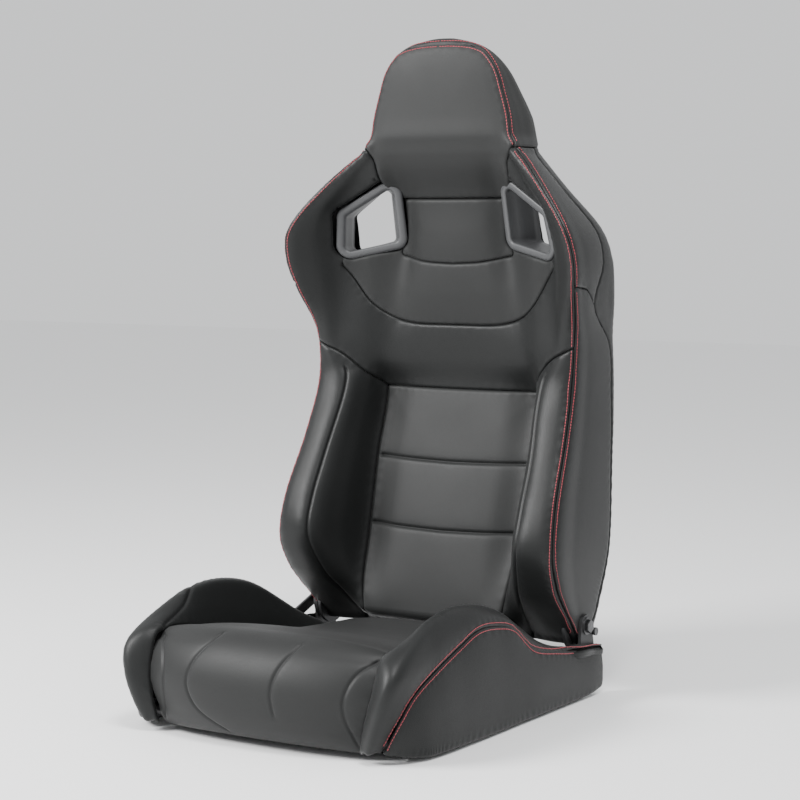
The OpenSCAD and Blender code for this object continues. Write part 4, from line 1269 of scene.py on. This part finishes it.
@dataclass
class Base:
    """The padded base: cushion with its rolled nose, two bolsters with side panels."""

    heel_y: float = 288.0
    depth: float = 588.0
    foam_z: float = 37.0
    how: Sewing = Sewing(crown=4.0, reach=26.0, crease=1.9, pucker=0.3)
    side: Sewing = Sewing(crown=2.0, reach=30.0, pucker=0.25)

    def cushion_sheet(self) -> tuple[Sheet, np.ndarray]:
        """The cushion's surface, its rows running from the heel over the nose.

        Returns:
            The sheet and the half width of each row.
        """
        top = Profile(((0.13, -0.72), (0.165, -0.15), (0.19, 0), (0.45, 0.18), (0.65, 0.56), (0.78, 0.88),
                       (0.9, 1)))
        t = np.array([0.165, 0.19, 0.25, 0.33, 0.41, 0.49, 0.57, 0.65, 0.73, 0.8, 0.86])
        lift = top(t)
        z = self.foam_z + np.where(lift < 0, 60 * (1 + lift), mix(60, 111, np.maximum(lift, 0)))
        spine = list(zip(self.heel_y - t * self.depth, z)) + [(-245, 148), (-268, 139), (-288, 117),
                                                              (-299, 85),
                                                              (-296, 52), (-284, 26), (-268, 12), (-254, 10)]
        line = resample(smooth_line(spine, 8), 5.0)
        run = np.concatenate([[0], np.cumsum(np.linalg.norm(np.diff(line, axis=0), axis=1))])
        width = Profile(((-300, 186), (-257, 187), (-230, 182), (-168, 178), (-34, 172), (65, 168),
                         (200, 160)))(line[:, 0])
        low = (line[:, 1] < 133) & (line[:, 0] < -250)
        width[low] = np.interp(line[low, 1], [10, 23, 80, 133], [168, 171, 184, 190])
        bow = np.interp(line[:, 0], [-275, -200], [1.0, 0.0]) * 34
        bow[low] = np.interp(line[low, 1], [10, 40, 133], [14, 30, 31])
        share = np.linspace(-1, 1, 61)
        table = np.empty((len(line), len(share), 3))
        table[..., 0] = width[:, None] * share
        table[..., 1] = line[:, :1] + bow[:, None] * np.abs(share) ** 2.6
        table[..., 2] = line[:,
                             1:] - (np.interp(run, [0, 380, 520, 600],
                                              [15, 12, 8, 2]))[:, None] * np.abs(share) ** 3
        return Sheet(run, table, turned=True), line

    def cushion(self) -> Solid:
        """The cushion with two darts and an end gusset each side."""
        sheet, line = self.cushion_sheet()
        n = sheet.table.shape[1] - 1
        run = sheet.along
        outline = np.concatenate([sheet.column(0, run), sheet.column(n, run[::-1])])

        def sewn(points: Sequence[tuple[float, float]]) -> np.ndarray:
            """A sewn line over the nose, from (x, z) places on its front."""
            spot = smooth_line(points, 6)
            nose = line[:, 0] < -225
            first = int(np.argmax(nose))
            height = np.minimum.accumulate(line[first:, 1] - 1e-4 * np.arange(len(line) - first))
            along = np.interp(-spot[:, 1], -height, run[first:])
            return sheet.at_value(np.stack([spot[:, 0], along], axis=1), 0, 0, n)

        creases = [sewn([(-66, 143), (-92, 110), (-99, 84), (-84, 50), (-42, 22)]),
                   sewn([(66, 141), (50, 112), (44, 86), (47, 58)])]
        for sign in (-1, 1):
            creases.append(sewn([(sign * x, z) for x,
                                 z in ((176, 138), (158, 118), (148, 88), (150, 56), (160, 22))]))
        return sew(sheet, outline, self.how, creases=creases)

    def bolster(self) -> tuple[Solid, Solid]:
        """One seat bolster with its side panel, and its stitching."""
        seam = smooth_line([(244, 276, 70), (244.5, 248, 74), (244, 190, 80), (243, 136, 88), (240, 69, 103),
                            (235, 20, 139), (232, -17, 148), (230, -68, 150), (229, -118, 135),
                            (229, -176, 115),
                            (225, -229, 89), (218, -252, 61), (207, -261, 36), (197, -265, 14)], 10)
        inner = smooth_line([(238.5, 276, 58), (238.5, 248, 62), (238.5, 190, 68), (165, 150, 80),
                             (168, 69, 86),
                             (171, 20, 92), (173, -17, 98), (175, -68, 108), (178, -118, 120),
                             (181, -176, 133),
                             (184, -246, 139), (181, -268, 90), (173, -275, 48), (165, -272, 11)], 10)
        ridge = smooth_line([(241, 276, 73), (241, 248, 77), (241, 190, 83), (206, 136, 92), (205, 69, 131),
                             (205, 20, 157), (206, -17, 171), (207, -68, 181), (208, -118, 182),
                             (209, -176, 171),
                             (221, -271, 118), (211, -286, 84), (198, -285, 46), (183, -278, 12)], 10)
        columns = []
        for a, b, c in zip(inner, ridge, seam):
            columns.append(smooth_line([a, mix(a, b, 0.45) + (b - c) * 0.06 + (0, 0, 4), b,
                                        mix(b, c, 0.5) + (3, 0, 3), c], 7))
        table = np.array(columns)
        middle = table[:, 14]
        run = np.concatenate([[0], np.cumsum(np.linalg.norm(np.diff(middle, axis=0), axis=1))])
        top = Sheet(run, table, turned=True)
        last = table.shape[1] - 1
        outline = np.concatenate([top.column(0, run), top.column(last, run[::-1])])
        edge = top.column(last, run)
        foot = smooth_line([(243, 284, 8), (243.5, 248, 3), (243.5, 190, 2), (243.5, 136, 2), (243.5, 69, 2),
                            (243.5, 20, 2), (243.5, -17, 2), (243.5, -68, 2), (243, -118, 3), (241, -176, 3),
                            (236, -214, 4), (224, -241, 7), (210, -256, 10), (199, -262, 11)], 10)
        side_rows = [smooth_line([c, mix(c, f, 0.3) + (2.0, 0, 0), mix(c, f, 0.7) + (2.0, 0, 0), f], 7)
                     for c, f in zip(seam, foot)]
        flank = Sheet(run, np.array(side_rows), turned=True)
        side_edge = flank.column(0, run)
        side_outline = np.concatenate([side_edge, flank.column(flank.table.shape[1] - 1, run[::-1])])
        cut = np.concatenate([top.column(k, run[[row]])
                              for k, row in zip(range(14, -1, -1), np.linspace(84, 98, 15).astype(int))])
        pad = sew(top, outline, self.how, stitched=[edge], creases=[smooth_line(cut, 2)])
        wall = sew(flank, side_outline, self.side, stitched=[side_edge])
        solid = join(pad, wall)
        thread = join(top_stitch(top, edge[4:-3], 1, self.how, pad),
                      top_stitch(flank, side_edge[4:-3], -1, self.side, wall))
        return solid, thread

    def build(self) -> None:
        """Make and dress every padded piece of the base."""
        piece("cushion_cover", self.cushion(), SMOOTH_LEATHER, Body.BASE, ["seat_cushion"])
        solid, thread = self.bolster()
        piece("seat_bolster_cover_left", solid, LEATHER, Body.BASE, ["seat_bolster_left"])
        piece("seat_bolster_cover_right", mirror(solid), LEATHER, Body.BASE,
              ["seat_bolster_right"])
        piece("base_top_stitching", join(thread, mirror(thread)), RED_THREAD, Body.BASE)


# ---- steel, light and camera ----------------------------------------------------------------------


class Steelwork:
    """The frame's own steel and hard parts, which keep their shapes and get their finishes."""

    blackened = {"pivot_bolt", "pivot_washer", "stop_pin", "bracket_screws", "shaft_clip", "lever_spring"}
    finishes = {Slot.PAINT: PAINTED, Slot.ZINC: ZINC, Slot.BRONZE: BRONZE, Slot.PLASTIC: GRIP,
                Slot.LEATHER: LEATHER}

    def build(self) -> None:
        """Dress every node of the frame."""
        slots = {row["node"]: Slot(row["material_slot"]) for row in frame["record"]["subparts"]}
        for node, thing in frame["nodes"].items():
            thing.data.materials.clear()
            kind = OXIDE if node in self.blackened else self.finishes[slots[node]]
            thing.data.materials.append(finish(kind))
            log.info("%s: %s", node, slots[node].value)


@dataclass
class Studio:
    """The pale floor, soft lights and the camera."""

    azimuth: float = 32.0
    elevation: float = 4.7504
    eye: tuple[float, float, float] = (1.67183865, -2.58079162, 0.70595633)
    lens: float = 96.554

    def light(self, name: str, eye: Vector, target: Vector, size: float, watts: float) -> None:
        """Add one soft area light.

        Args:
            name: its name.
            eye: where it is.
            target: what it faces.
            size: its width in metres.
            watts: its power.
        """
        lamp = bpy.data.lights.new(name, "AREA")
        lamp.shape, lamp.size, lamp.energy = "SQUARE", size, watts
        thing = bpy.data.objects.new(name, lamp)
        thing.location = eye
        thing.rotation_euler = (target - eye).to_track_quat("-Z", "Y").to_euler()
        bpy.context.scene.collection.objects.link(thing)

    def build(self) -> None:
        """Set up floor, world, lights and camera."""
        scene = bpy.context.scene
        mesh = bpy.data.meshes.new("floor")
        mesh.from_pydata([(-9, -9, -0.0005), (9, -9, -0.0005), (9, 9, -0.0005), (-9, 9, -0.0005)], [],
                         [(0, 1, 2, 3)])
        floor = bpy.data.objects.new("floor", mesh)
        scene.collection.objects.link(floor)
        board = Board("pale_floor")
        board.dress(Base_Color=(0.93, 0.93, 0.93), Roughness=0.8 + board.noise(3.0) * 0.05)
        mesh.materials.append(board.material)
        world = bpy.data.worlds.new("studio")
        world.use_nodes = True
        world.node_tree.nodes["Background"].inputs[0].default_value = (0.95, 0.96, 0.97, 1)
        world.node_tree.nodes["Background"].inputs[1].default_value = 1.0
        scene.world = world
        middle = Vector((0, 0, 0.5))
        self.light("key", Vector((-1.6, -2.0, 2.0)), middle, 1.1, 150)
        self.light("top", Vector((0.9, -0.9, 2.9)), middle, 0.8, 70)
        view = bpy.data.cameras.new("view")
        view.lens, view.sensor_width = self.lens, 36.0
        camera = bpy.data.objects.new("view", view)
        turn = Matrix.Rotation(math.radians(self.azimuth), 4,
                               "Z") @ Matrix.Rotation(math.radians(90 - self.elevation), 4, "X")
        camera.matrix_world = Matrix.Translation(self.eye) @ turn
        scene.collection.objects.link(camera)
        scene.camera = camera


def main() -> None:
    """Build the seat in order."""
    logging.basicConfig(level=logging.INFO, format="%(message)s")
    Studio().build()
    Steelwork().build()
    Backrest().build()
    Base().build()


if __name__ == "__main__":
    main()
